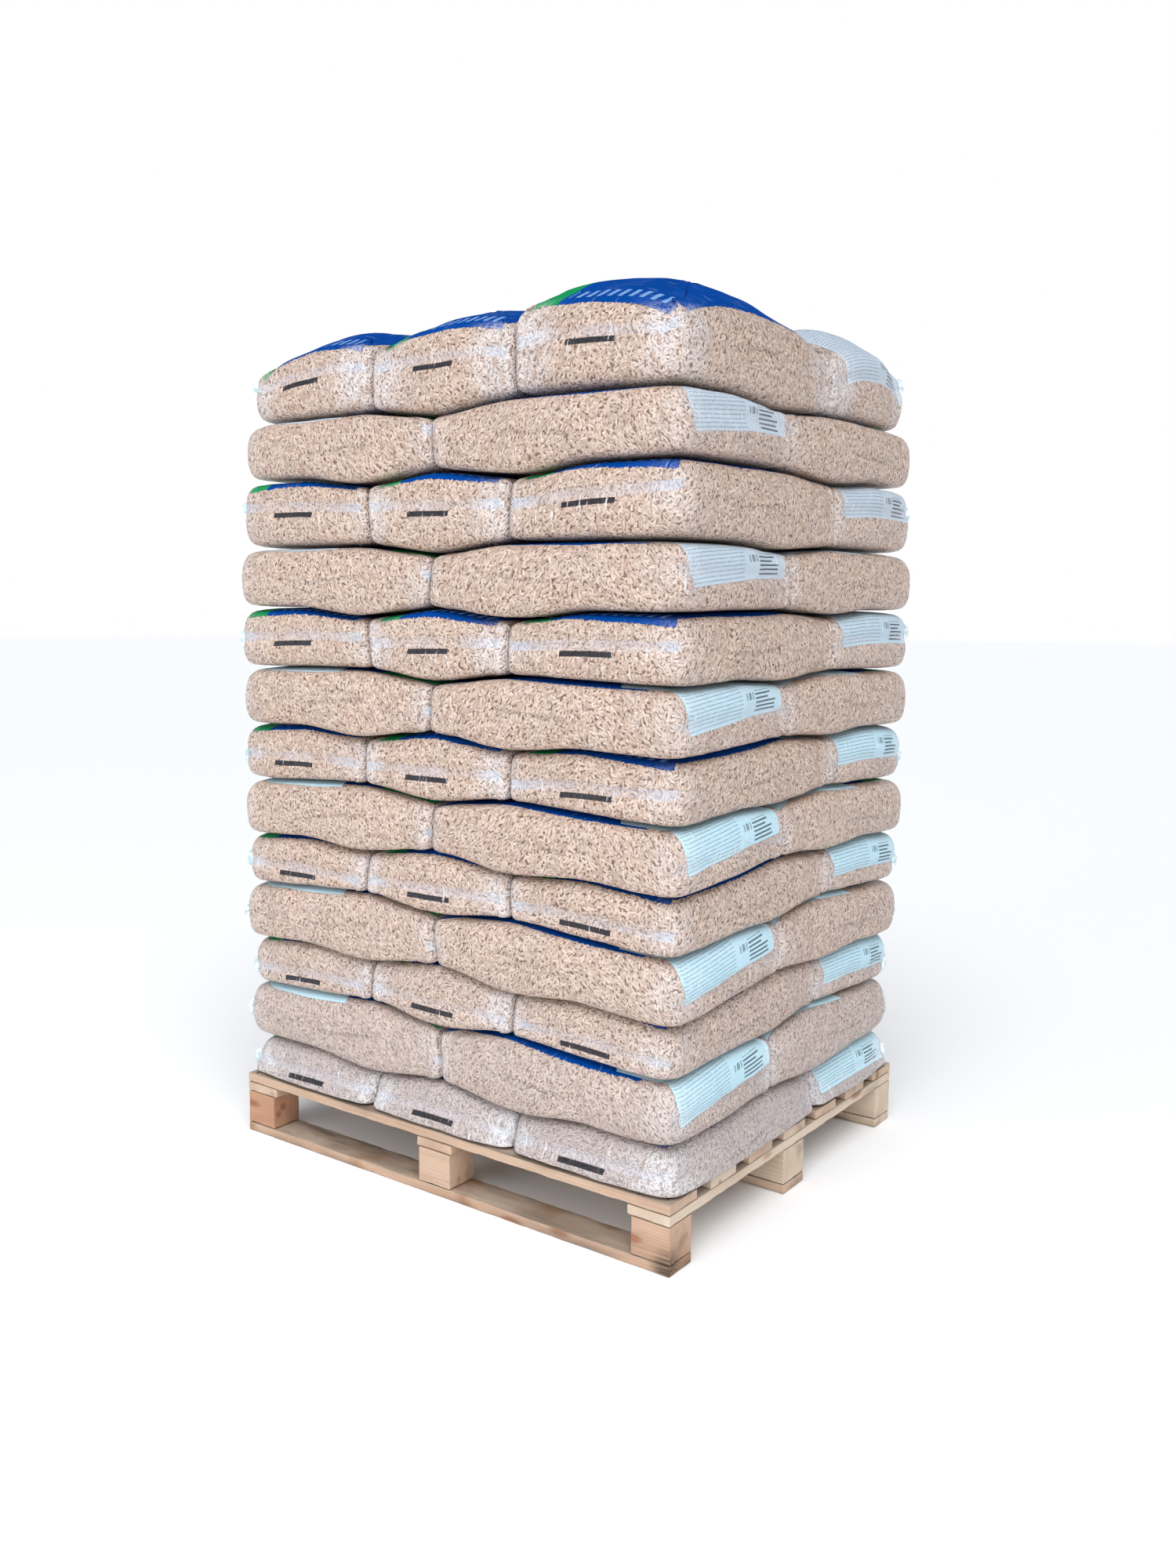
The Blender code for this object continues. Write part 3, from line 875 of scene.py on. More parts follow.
# High up, the film over a label mirrors more of the sky, so its ink looks greyer.
LABEL_HIGH = "#b9c4cf"
LABEL_INK = "#778a99"
LABEL_DARK = "#3f444b"
LABEL_START = 0.060
LABEL_END = 0.347
LABEL_LOW_SIDE = -0.184
LABEL_END_LOW_SIDE = -0.170
LABEL_HIGH_SIDE = 0.170
LABEL_CUT = (0.2745, 0.2755)
LABEL_EDGE = 0.0012
FINE_ALONG = (0.112, 0.341)
FINE_ACROSS = (-0.010, 0.162)
FINE_PER_METRE = 128.0
BOLD_ALONG = (0.296, 0.342)
BOLD_ACROSS = (-0.143, -0.062)
BOLD_PER_METRE = 120.0
BOLD_STAGGER = 0.035
SQUARES_ALONG = (0.299, 0.313)
SQUARES_ACROSS = (-0.056, -0.026)
SQUARES_PER_METRE = 62.0


def label_colour(tree, at, laid, low):
    """Pale label over the end with grey rows and a darker block, and where it lies."""
    hang = summed(tree, at[0], (at[1], -0.04))
    begin = summed(tree, at[0], (at[1], -0.5))
    cut = summed(tree, at[1], (at[0], 0.35))
    low_side = soft_steps(tree, (at[0], 0.200, 0.245, LABEL_LOW_SIDE, LABEL_END_LOW_SIDE))
    label = soft_steps(
        tree,
        (begin, LABEL_START, LABEL_START + LABEL_EDGE),
        (hang, LABEL_END - LABEL_EDGE, LABEL_END, 1.0, 0.0),
        (summed(tree, at[1], (low_side, -1.0)), 0.0, LABEL_EDGE),
        (at[1], LABEL_HIGH_SIDE - LABEL_EDGE, LABEL_HIGH_SIDE, 1.0, 0.0),
        (cut, *LABEL_CUT, 1.0, 0.0),
    )
    print_gaps = stretched_noise(tree, laid, 1.0, 1.0, (150.0, 60.0, 1.0))
    fine = times(
        tree,
        rows_of(tree, hang, FINE_PER_METRE, 0.32, 0.58, 0.10),
        field(tree, hang, at[1], FINE_ALONG, FINE_ACROSS, MARK_EDGE),
        soft_steps(tree, (print_gaps, 0.34, 0.42, 0.35, 1.0)),
        0.70,
    )
    row_at = times(tree, hang, BOLD_PER_METRE)
    row = add_node(tree, "ShaderNodeMath", (row_at,), operation="FLOOR").outputs[0]
    chance = add_node(tree, "ShaderNodeTexWhiteNoise", {"W": row}, noise_dimensions="1D").outputs[0]
    row_start = summed(tree, BOLD_ACROSS[0], (chance, BOLD_STAGGER))
    bold = times(
        tree,
        rows_of(tree, hang, BOLD_PER_METRE, 0.22, 0.66, 0.05),
        add_node(tree, "ShaderNodeMath", (at[1], row_start), operation="GREATER_THAN").outputs[0],
        field(tree, hang, at[1], BOLD_ALONG, BOLD_ACROSS, MARK_EDGE),
        0.85,
    )
    squares = times(
        tree,
        field(tree, hang, at[1], SQUARES_ALONG, SQUARES_ACROSS, MARK_EDGE),
        rows_of(tree, at[1], SQUARES_PER_METRE, 0.12, 0.80, 0.06),
        0.6,
    )
    dark = add_node(tree, "ShaderNodeMath", (bold, squares), operation="MAXIMUM").outputs[0]
    # Painted reflection: high in the stack the label is greyer, low down paler.
    pale = painted(tree, linear(LABEL_HIGH), (soft_steps(tree, (low, 0.15, 0.60)), linear(LABEL_PALE)))
    return label, painted(tree, pale, (fine, linear(LABEL_INK)), (dark, linear(LABEL_DARK)))


print("label from", LABEL_START, "to", LABEL_END)

# %% [markdown]
# A seal is a band across the end where two films are welded flat, milky and a
# little blue. Below it the film is streaked with fine creases, drawn white as
# painted glints. Where a corner is pinched it is crumpled and milky, with a
# painted highlight on the tops of the rods, stronger low in the stack. Under
# the seal of the plain end is a printed black bar.

# %% Seal, creases and bar
SEAL_GREY = "#c6c2ca"
SEAL_BLUE = "#b0becd"
BAR_BLACK = "#2b2a30"
# Places on an end, in metres below its seal.
SEAL_BAND = (-0.012, 0.007)
SEAL_EDGE = 0.0022
STREAK_BAND = (-0.035, 0.060)
STREAK_EDGE = 0.03
BAR_DROP = 0.009
BAR_HEIGHT = 0.011
BAR_EDGE = 0.0008
BAR_LENGTH = 0.114
BAR_SHIFT = -0.008
SIDE_ROW_ALONG = (-0.12, 0.05)
SIDE_ROW_DROP = (0.250, 0.259)


def end_marks(tree, at, stored, film, patches, height):
    """Of an end: its seal band and the band's colour, the milky creases with their painted glints and
    highlights, and the black bar.

    A long side has a faint row of its own in place of the bar.
    """
    facing, below = stored["facing"], stored["below_seal"]
    end_share = add_node(tree, "ShaderNodeMath", (facing,), operation="ABSOLUTE").outputs[0]
    from_middle = add_node(tree, "ShaderNodeMath", (at[1],), operation="ABSOLUTE").outputs[0]
    on_end = soft_steps(tree, (end_share, 0.55, 0.85))
    near_side = soft_steps(tree, (from_middle, 0.10, 0.17, 0.0, 0.45))
    patchy = soft_steps(tree, (patches, 0.32, 0.62, 0.12, 0.44))
    band_share = summed(tree, near_side, (patchy, 1.0), clamp=True)
    fainter = soft_steps(tree, (facing, -0.6, 0.6, 1.0, 0.35))
    band = times(tree, inside(tree, below, *SEAL_BAND, SEAL_EDGE), on_end, fainter, band_share)
    band_colour = painted(tree, linear(SEAL_GREY), (near_side, linear(SEAL_BLUE)))

    streaks = stretched_noise(tree, film, 1.0, 3.0, (120.0, 15.0, 1.0))
    by_seal = times(tree, inside(tree, below, *STREAK_BAND, STREAK_EDGE), on_end)
    # Painted glints: fine white streaks by the seal, in place of the film's gloss along its creases.
    glint_streaks = soft_steps(tree, (streaks, 0.62, 0.72), (by_seal, 0.0, 1.0, 0.14, 0.75))
    crumpled = stretched_noise(tree, film, 1.0, 4.0, (48.0, 30.0, 1.0))
    # Milky crumple at a pinched corner with a painted highlight: whiter on the rod tops, and more so low in
    # the stack.
    on_rods = soft_steps(tree, (height, 0.0022, 0.0050, 0.30, 1.0))
    pinched = times(
        tree,
        soft_steps(tree, (stored["pinch"], 0.0, 0.50), (crumpled, 0.34, 0.52)),
        on_rods,
        summed(tree, 0.48, (stored["low_in_stack"], 0.18)),
    )
    creases = add_node(tree, "ShaderNodeMath", (glint_streaks, pinched), operation="MAXIMUM").outputs[0]

    bar = times(
        tree,
        inside(tree, below, BAR_DROP, BAR_DROP + BAR_HEIGHT, BAR_EDGE),
        inside(tree, at[1], BAR_SHIFT - BAR_LENGTH / 2, BAR_SHIFT + BAR_LENGTH / 2, BAR_EDGE),
        # The bar fades under the streaks of the painted glints.
        soft_steps(tree, (facing, -0.55, -0.85), (streaks, 0.76, 0.62, 0.3, 1.0)),
    )
    side_row = times(
        tree,
        field(tree, at[0], from_middle, SIDE_ROW_ALONG, SIDE_ROW_DROP, MARK_EDGE),
        soft_steps(tree, (end_share, 0.4, 0.2), (stretched_noise(tree, film, 160.0, 0.0), 0.42, 0.5)),
        0.3,
    )
    black = add_node(tree, "ShaderNodeMath", (bar, side_row), operation="MAXIMUM").outputs[0]
    return band, band_colour, creases, black


print("bar", BAR_LENGTH * 1000, "by", BAR_HEIGHT * 1000, "mm")

# %% [markdown]
# All of it comes together in one material. The coats go from the rods
# outwards: the veil, which is milky film and also painted reflection low in
# the stack, the prints, the seal, the bar and the creases, milky and also
# painted glints. Two bumps do the relief: the rods push the film out from
# behind, and finer wrinkles move only the gloss.

# %% Material of the sacks
# The veil is milky film in patches, and also a painted reflection that grows towards the bottom of the stack.
VEIL = "#a9a8ae"
# Colour of the milky creases and of the painted glints and highlights on them.
CREASE_AND_GLINT_WHITE = "#e9e9ed"
PAINTED_REFLECTION_POWER = 8.0


def sack_material():
    """Tan pellets behind clear film: a glossy coat over matt rods, with painted shade in their gaps, a
    painted reflection low in the stack, and milky creases with painted glints; opaque where printed.
    """
    material, tree, shader = new_material("blown_polyethylene_film_over_wood_pellets")
    film = add_node(tree, "ShaderNodeUVMap", uv_map="film").outputs[0]
    laid = add_node(tree, "ShaderNodeUVMap", uv_map="print").outputs[0]
    at = add_node(tree, "ShaderNodeSeparateXYZ", (laid,)).outputs
    stored = {
        name: add_node(tree, "ShaderNodeAttribute", attribute_name=name).outputs["Fac"]
        for name in ("below_seal", "pinch", "facing", "low_in_stack")
    }
    patches = stretched_noise(tree, film, 14.0, 4.0)
    height, pellets = heap_of_rods(tree, film)
    # Painted reflection: the lower a sack lies, the more grey veil covers its rods.
    painted_reflection = add_node(tree, "ShaderNodeMath", (stored["low_in_stack"], PAINTED_REFLECTION_POWER), operation="POWER").outputs[0]
    milky = soft_steps(tree, (patches, 0.38, 0.72, 0.02, 0.14))
    on_label_end = soft_steps(tree, (stored["facing"], 0.3, 0.9, 0.0, 0.08))
    veil = summed(tree, milky, (painted_reflection, 0.50), (stored["pinch"], 0.16), (on_label_end, 1.0), clamp=True)
    panel, art = print_colour(tree, at, film, patches)
    label, label_art = label_colour(tree, at, laid, stored["low_in_stack"])
    band, band_colour, creases, black = end_marks(tree, at, stored, film, patches, height)
    # Coats: the veil with its painted reflection, the prints, the seal, the bar, and the creases with their
    # painted glints and highlights.
    colour = painted(
        tree,
        pellets,
        (veil, linear(VEIL)),
        (panel, art),
        (label, label_art),
        (band, band_colour),
        (black, linear(BAR_BLACK)),
        (times(tree, creases, 0.90), linear(CREASE_AND_GLINT_WHITE)),
    )

    covered = add_node(tree, "ShaderNodeMath", (panel, label), operation="MAXIMUM").outputs[0]
    relief = times(tree, height, soft_steps(tree, (covered, 0.0, 1.0, 1.0, 0.3)))
    sockets = {"Height": relief, "Distance": 1.0, "Strength": 0.85}
    rod_bump = add_node(tree, "ShaderNodeBump", sockets).outputs[0]
    wrinkled = stretched_noise(tree, film, 1.0, 3.0, (75.0, 24.0, 1.0))
    sockets = {"Height": wrinkled, "Distance": 0.004, "Strength": 0.6, "Normal": rod_bump}
    film_bump = add_node(tree, "ShaderNodeBump", sockets).outputs[0]
    print_gloss = soft_steps(tree, (patches, 0.52, 0.68, 0.04, 0.20))
    gloss = add_node(tree, "ShaderNodeMix", {0: covered, 2: 0.75, 3: print_gloss}).outputs[0]
    tree.links.new(colour, shader.inputs["Base Color"])
    tree.links.new(rod_bump, shader.inputs["Normal"])
    tree.links.new(film_bump, shader.inputs["Coat Normal"])
    tree.links.new(gloss, shader.inputs["Coat Weight"])
    shader.inputs["Roughness"].default_value = 0.5
    # Sawdust rods and ink are matt: all the gloss is the film's.
    shader.inputs["Specular IOR Level"].default_value = 0.0
    shader.inputs["Coat Roughness"].default_value = 0.16
    shader.inputs["Coat IOR"].default_value = 1.45
    return material


film_material = sack_material()
print("nodes in the film:", len(film_material.node_tree.nodes))

# %% [markdown]
# ## Geometry Nodes, and back to a plain mesh
# Four trees below shape the film, the tabs, the wood and the nails. Each has
# named inputs, which a modifier sets by their identifiers, and ends with real
# geometry and its material. Its result is kept as a plain mesh, because the
# export keeps no modifier that makes instances.

# %% What the trees share
def shape_tree(name, sizes):
    """A Geometry Nodes tree with named inputs for its sizes and its material; gives it and those inputs."""
    tree = bpy.data.node_groups.new(name, "GeometryNodeTree")
    tree.interface.new_socket("Geometry", in_out="INPUT", socket_type="NodeSocketGeometry")
    for size, value in sizes.items():
        tree.interface.new_socket(size, in_out="INPUT", socket_type="NodeSocketFloat").default_value = value
    tree.interface.new_socket("Material", in_out="INPUT", socket_type="NodeSocketMaterial")
    tree.interface.new_socket("Geometry", in_out="OUTPUT", socket_type="NodeSocketGeometry")
    return tree, add_node(tree, "NodeGroupInput").outputs


def ended_tree(tree, geometry, material):
    """Ends a tree as the export needs it: instances made real, and the material set."""
    real = add_node(tree, "GeometryNodeRealizeInstances", (geometry,)).outputs[0]
    coated = add_node(tree, "GeometryNodeSetMaterial", {"Geometry": real, "Material": material}).outputs[0]
    add_node(tree, "NodeGroupOutput", {"Geometry": coated})
    return tree


def socket_key(tree, name):
    """Identifier of a tree's input, which a modifier sets it by."""
    sockets = [each for each in tree.interface.items_tree if each.in_out == "INPUT"]
    return next(each.identifier for each in sockets if each.name == name)


def made_plain(piece, tree, values):
    """Runs a node tree on a piece and keeps the result as its plain mesh."""
    modifier = piece.modifiers.new("shape", "NODES")
    modifier.node_group = tree
    for name, value in values.items():
        modifier[socket_key(tree, name)] = value
    bpy.context.view_layer.update()
    seen = piece.evaluated_get(bpy.context.evaluated_depsgraph_get())
    mesh = bpy.data.meshes.new_from_object(seen)
    piece.modifiers.clear()
    piece.data = mesh
    return piece


print("node groups before the trees:", len(bpy.data.node_groups))

# %% [markdown]
# ## Lumps and creases
# The fill shifts in the sack and pushes the film out here and there, and the
# film creases at its corners. A Geometry Nodes tree moves each point out
# along its normal by a broad noise, and by a finer, ridged one near the
# pinched corners. Points that touch a neighbour stay where they are.

# %% Geometry Nodes: lumps and creases of the film
def film_tree():
    """Moves the free points of a sack out by broad lumps, and in along fine creases near its corners."""
    sizes = {"Lump Height": 0.006, "Lump Size": 0.09, "Crease Height": 0.003, "Crease Size": 0.022}
    tree, given = shape_tree("lumps_and_creases", {**sizes, "Seed": 0.0})
    place = add_node(tree, "GeometryNodeInputPosition").outputs[0]
    normal = add_node(tree, "GeometryNodeInputNormal").outputs[0]
    free, pinch = [
        add_node(tree, "GeometryNodeInputNamedAttribute", {"Name": name}, data_type="FLOAT").outputs[0]
        for name in ("free", "pinch")
    ]
    per_lump = add_node(tree, "ShaderNodeMath", (1.0, given["Lump Size"]), operation="DIVIDE").outputs[0]
    sockets = {"Vector": place, "W": given["Seed"], "Scale": per_lump, "Detail": 1.0}
    lump = add_node(tree, "ShaderNodeTexNoise", sockets, noise_dimensions="4D").outputs[0]
    per_crease = add_node(tree, "ShaderNodeMath", (1.0, given["Crease Size"]), operation="DIVIDE").outputs[0]
    sockets = {"Vector": place, "W": given["Seed"], "Scale": per_crease, "Detail": 2.0, "Distortion": 0.6}
    crease = add_node(tree, "ShaderNodeTexNoise", sockets, noise_dimensions="4D").outputs[0]
    off_middle = summed(tree, -0.5, (crease, 1.0))
    ridge = add_node(tree, "ShaderNodeMath", (off_middle,), operation="ABSOLUTE").outputs[0]
    lump_out = times(tree, summed(tree, -0.5, (lump, 1.0)), given["Lump Height"], 2.0)
    crease_out = times(tree, ridge, given["Crease Height"], -5.0, summed(tree, 0.2, (pinch, 0.8)))
    out = times(tree, summed(tree, lump_out, (crease_out, 1.0)), free)
    move = add_node(tree, "ShaderNodeVectorMath", {0: normal, "Scale": out}, operation="SCALE").outputs[0]
    sockets = {"Geometry": given["Geometry"], "Offset": move}
    moved = add_node(tree, "GeometryNodeSetPosition", sockets).outputs[0]
    return ended_tree(tree, moved, given["Material"])


lumps = film_tree()
for number, piece in enumerate(sack_objects):
    made_plain(piece, lumps, {"Seed": float(number), "Material": film_material})
    piece.data.name = piece.name
print("first sack now has", len(sack_objects[0].data.vertices), "points")

# %% Sacks take the place of the plain layers
for sack, piece in zip(sacks, sack_objects):
    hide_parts(f"sack_layer_{sack['layer'] + 1:02d}")
    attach(piece, "root")
print(len(sack_objects), "sacks in place of", LAYERS, "layers")

# %% [markdown]
# ## Tabs where the seals end
# A seal is two films welded flat, so at the corners of the load its end
# sticks out as a small crumpled tab. Geometry Nodes puts a flattened ball on
# each end, turns it outwards, and crumples it with noise, which is quicker
# than shaping each tab and gives no two alike.

# %% Geometry Nodes: seal tabs
def tab_tree():
    """Sets a crumpled, flattened ball on each point, turned the way that the point gives."""
    sizes = {"Reach": 0.011, "Height": 0.021, "Thickness": 0.0013, "Crumple": 0.007}
    tree, given = shape_tree("seal_tabs", sizes)
    ball = add_node(tree, "GeometryNodeMeshUVSphere", {"Segments": 20, "Rings": 14, "Radius": 1.0}).outputs[0]
    sockets = {"X": given["Reach"], "Y": given["Thickness"], "Z": given["Height"]}
    size = add_node(tree, "ShaderNodeCombineXYZ", sockets).outputs[0]
    flat = add_node(tree, "GeometryNodeTransform", {"Geometry": ball, "Scale": size}).outputs[0]
    sockets = {"Name": "way"}
    way = add_node(tree, "GeometryNodeInputNamedAttribute", sockets, data_type="FLOAT_VECTOR").outputs[0]
    sockets = {"Vector": way}
    turned = add_node(tree, "FunctionNodeAlignRotationToVector", sockets, axis="X", pivot_axis="Z").outputs[0]
    chance = add_node(tree, "FunctionNodeRandomValue", {2: 0.7, 3: 1.25, 8: 5}, data_type="FLOAT").outputs[1]
    sockets = {"Points": given["Geometry"], "Instance": flat, "Rotation": turned, "Scale": chance}
    placed = add_node(tree, "GeometryNodeInstanceOnPoints", sockets).outputs[0]
    real = add_node(tree, "GeometryNodeRealizeInstances", (placed,)).outputs[0]
    place = add_node(tree, "GeometryNodeInputPosition").outputs[0]
    sockets = {"Vector": place, "Scale": 55.0, "Detail": 1.0}
    bent = add_node(tree, "ShaderNodeTexNoise", sockets).outputs["Color"]
    sockets = (bent, (0.5, 0.5, 0.5))
    middle = add_node(tree, "ShaderNodeVectorMath", sockets, operation="SUBTRACT").outputs[0]
    sockets = {0: middle, "Scale": given["Crumple"]}
    shift = add_node(tree, "ShaderNodeVectorMath", sockets, operation="SCALE").outputs[0]
    crumpled = add_node(tree, "GeometryNodeSetPosition", {"Geometry": real, "Offset": shift}).outputs[0]
    smooth = add_node(tree, "GeometryNodeSetShadeSmooth", (crumpled,)).outputs[0]
    return ended_tree(tree, smooth, given["Material"])


tab_nodes = tab_tree()
print("nodes in the tree of the tabs:", len(tab_nodes.nodes))

# %% Tabs at the ends of the seals
TAB_BLUE = "#a9c6cf"
TAB_WHITE = "#e4edf0"
TAB_SUNK = 0.001
LOW_LAYERS = 4


def points_with_ways(name, places, ways):
    """A mesh of loose points, each with a direction, for Geometry Nodes to work from."""
    mesh = bpy.data.meshes.new(name)
    mesh.from_pydata([tuple(place) for place in places], [], [])
    flat = [float(value) for way in ways for value in way]
    mesh.attributes.new("way", "FLOAT_VECTOR", "POINT").data.foreach_set("vector", flat)
    piece = bpy.data.objects.new(name, mesh)
    bpy.context.scene.collection.objects.link(piece)
    return piece


def tab_material():
    """Two clear films welded flat scatter light: a milky, faintly blue tab with a soft gloss."""
    material, tree, shader = new_material("welded_doubled_polyethylene_film")
    place = add_node(tree, "ShaderNodeTexCoord").outputs["Object"]
    clouds = add_node(tree, "ShaderNodeTexNoise", {"Vector": place, "Scale": 90.0, "Detail": 2.0}).outputs[0]
    milky = soft_steps(tree, (clouds, 0.4, 0.6))
    tree.links.new(painted(tree, linear(TAB_BLUE), (milky, linear(TAB_WHITE))), shader.inputs["Base Color"])
    shader.inputs["Roughness"].default_value = 0.3
    shader.inputs["IOR"].default_value = 1.5
    return material


tabbed = [sack for sack in sacks if three_in_front(sack["layer"]) or sack["layer"] < LOW_LAYERS]
tabs = [tab for sack in tabbed for tab in sack["tabs"]]
tab_points = [place - np.array((*way, 0)) * TAB_SUNK for place, way in tabs]
seal_tabs = points_with_ways("seal_tabs", tab_points, [(*way, 0.0) for _, way in tabs])
made_plain(seal_tabs, tab_nodes, {"Material": tab_material()})
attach(seal_tabs, "root")
print(len(tabs), "tabs with", len(seal_tabs.data.polygons), "faces")

# %% [markdown]
# ## Sawn wood
# The boards come rough from the saw and have been knocked about by forks, so
# each CAD board is replaced by a worn piece of the same box. Its surface is a
# lattice of points; near an edge they are pulled back onto a round whose
# radius wanders along the piece. Geometry Nodes then adds the saw's waves.

# %% Worn boards and blocks
WORN_EDGE = 0.0022
BOARD_STEP = 0.016
BLOCK_STEP = 0.007
SAWN_SPACE = 0.0002
# The wear of an edge swells and shrinks along the piece by these sizes and turns per metre.
WEAR_WAVES = ((0.5, 33), (0.35, 79), (0.3, 190))
WEAR_SLANT = 0.6
LEAST_WEAR = 0.35
# How reddish a piece is, from 0 for pale to 1; the others get a value by chance.
RED_SHARES = {
    "block_front_left": 0.95,
    "block_front_middle": 0.45,
    "block_front_right": 0.60,
    "block_middle_right": 0.0,
    "block_rear_right": 0.05,
    "bottom_board_front": 0.55,
    "deck_board_1": 0.45,
}


def lattice_lines(half, step):
    """Places along one side of a piece, with two close to each edge."""
    inner = half - 2 * WORN_EDGE
    inner_lines = np.linspace(-inner, inner, max(1, round(2 * inner / step)) + 1)
    return np.concatenate(([-half, -half + WORN_EDGE], inner_lines, [half - WORN_EDGE, half]))


def surface_lattice(lines):
    """Points and four-sided faces of a closed box that is cut along the given lines."""
    numbers = {}
    faces = []
    for axis in range(3):
        first, second = (axis + 1) % 3, (axis + 2) % 3
        for side in (0, len(lines[axis]) - 1):
            for i in range(len(lines[first]) - 1):
                for j in range(len(lines[second]) - 1):
                    ring = []
                    for step_i, step_j in ((0, 0), (1, 0), (1, 1), (0, 1)):
                        key = [side, side, side]
                        key[first], key[second] = i + step_i, j + step_j
                        ring.append(numbers.setdefault(tuple(key), len(numbers)))
                    faces.append(ring if side else ring[::-1])
    places = np.array([[lines[axis][key[axis]] for axis in range(3)] for key in numbers])
    return places, faces


def worn_piece(name, number):
    """A board or block in place of its CAD node, its edges worn unevenly, its grain along its length."""
    low, high = (np.array(corner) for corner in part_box(name))
    half = (high - low) / 2 - SAWN_SPACE
    along = 1 if name.startswith("stringer") else 0
    step = BLOCK_STEP if name.startswith("block") else BOARD_STEP
    places, faces = surface_lattice([lattice_lines(size, step) for size in half])
    chance = np.random.default_rng(number)
    at = places[:, along] + WEAR_SLANT * places.sum(1)
    starts = chance.uniform(0, 2 * math.pi, 3)
    wear = 1 + sum(size * np.sin(turns * at + start) for (size, turns), start in zip(WEAR_WAVES, starts))
    radius = (WORN_EDGE * wear.clip(LEAST_WEAR))[:, None]
    core = places.clip(radius - half, half - radius)
    away = places - core
    length = np.linalg.norm(away, axis=1, keepdims=True)
    worn = core + away * radius / length.clip(1e-9)
    pith_along, pith_across = chance.uniform(0, 5), chance.uniform(-0.05, 0.05)
    pith = np.array((pith_along, pith_across, chance.choice((-1, 1)) * chance.uniform(0.03, 0.08)))
    grain = np.roll(places, -along, axis=1) + pith
    upper = (places[:, 2] > half[2] - 1e-6).astype(float)
    red = np.full(len(places), RED_SHARES.get(name, 0.5 * chance.random()))
    mesh = bpy.data.meshes.new(name + "_worn")
    mesh.from_pydata((worn + (low + high) / 2).tolist(), [], faces)
    mesh.attributes.new("grain_at", "FLOAT_VECTOR", "POINT").data.foreach_set("vector", grain.ravel())
    mesh.attributes.new("red", "FLOAT", "POINT").data.foreach_set("value", red)
    mesh.attributes.new("upper", "FLOAT", "POINT").data.foreach_set("value", upper)
    mesh.shade_smooth()
    piece = bpy.data.objects.new(name + "_worn", mesh)
    bpy.context.scene.collection.objects.link(piece)
    return piece


wood_nodes = sorted(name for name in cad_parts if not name.startswith("sack_layer"))
wood_pieces = {name: worn_piece(name, number) for number, name in enumerate(wood_nodes)}
wood_faces = sum(len(piece.data.polygons) for piece in wood_pieces.values())
print(len(wood_pieces), "pieces of wood,", 2 * wood_faces, "triangles")

# %% [markdown]
# Each piece carries its own grain map, metres from its pith line. Two noises
# on that map move its surface in: a slow one for the warp of drying wood, and
# a finer one for the marks that the saw left.

# %% Geometry Nodes: saw waves
def sawn_tree():
    """Moves a piece's points in by a slow warp and by the waves that the saw left."""
    tree, given = shape_tree("saw_waves", {"Warp": 0.0009, "Saw Waves": 0.0006, "Seed": 0.0})
    normal = add_node(tree, "GeometryNodeInputNormal").outputs[0]
    sockets = {"Name": "grain_at"}
    at = add_node(tree, "GeometryNodeInputNamedAttribute", sockets, data_type="FLOAT_VECTOR").outputs[0]
    sockets = {"Vector": at, "W": given["Seed"], "Scale": 7.0, "Detail": 0.0}
    warp = add_node(tree, "ShaderNodeTexNoise", sockets, noise_dimensions="4D").outputs[0]
    sockets = {"Vector": at, "W": given["Seed"], "Scale": 60.0, "Detail": 1.0}
    waves = add_node(tree, "ShaderNodeTexNoise", sockets, noise_dimensions="4D").outputs[0]
    inward = summed(tree, times(tree, warp, given["Warp"]), (waves, given["Saw Waves"]))
    sockets = {0: normal, "Scale": times(tree, inward, -1.0)}
    move = add_node(tree, "ShaderNodeVectorMath", sockets, operation="SCALE").outputs[0]
    sockets = {"Geometry": given["Geometry"], "Offset": move}
    moved = add_node(tree, "GeometryNodeSetPosition", sockets).outputs[0]
    return ended_tree(tree, moved, given["Material"])


saw_waves = sawn_tree()
print("nodes in the tree of the wood:", len(saw_waves.nodes))

# %% [markdown]
# Pine shows its rings as long bands on the faces and as arcs on the ends,
# because the saw cuts through cones of growth. The material does the same: a
# pith line lies just outside each piece, and the distance from it gives the
# rings. Tops are greyed by rain and mould, and the lowest wood is dirty.

# %% Material of the wood
# Rings of fast-grown pine lie about 5 mm apart. Its fibres are far finer than a millimetre, so they are
# drawn about 2 mm wide, to show in the render. Each stretch is in turns per metre along and across.
RINGS_PER_METRE = 190.0
SWAY_STRETCH = (3.0, 14.0, 14.0)
FIBRE_STRETCH = (9.0, 420.0, 420.0)
KNOT_STRETCH = (5.5, 16.0, 16.0)
SCUFFED_CORNER = (0.600, -0.500, 0.012)


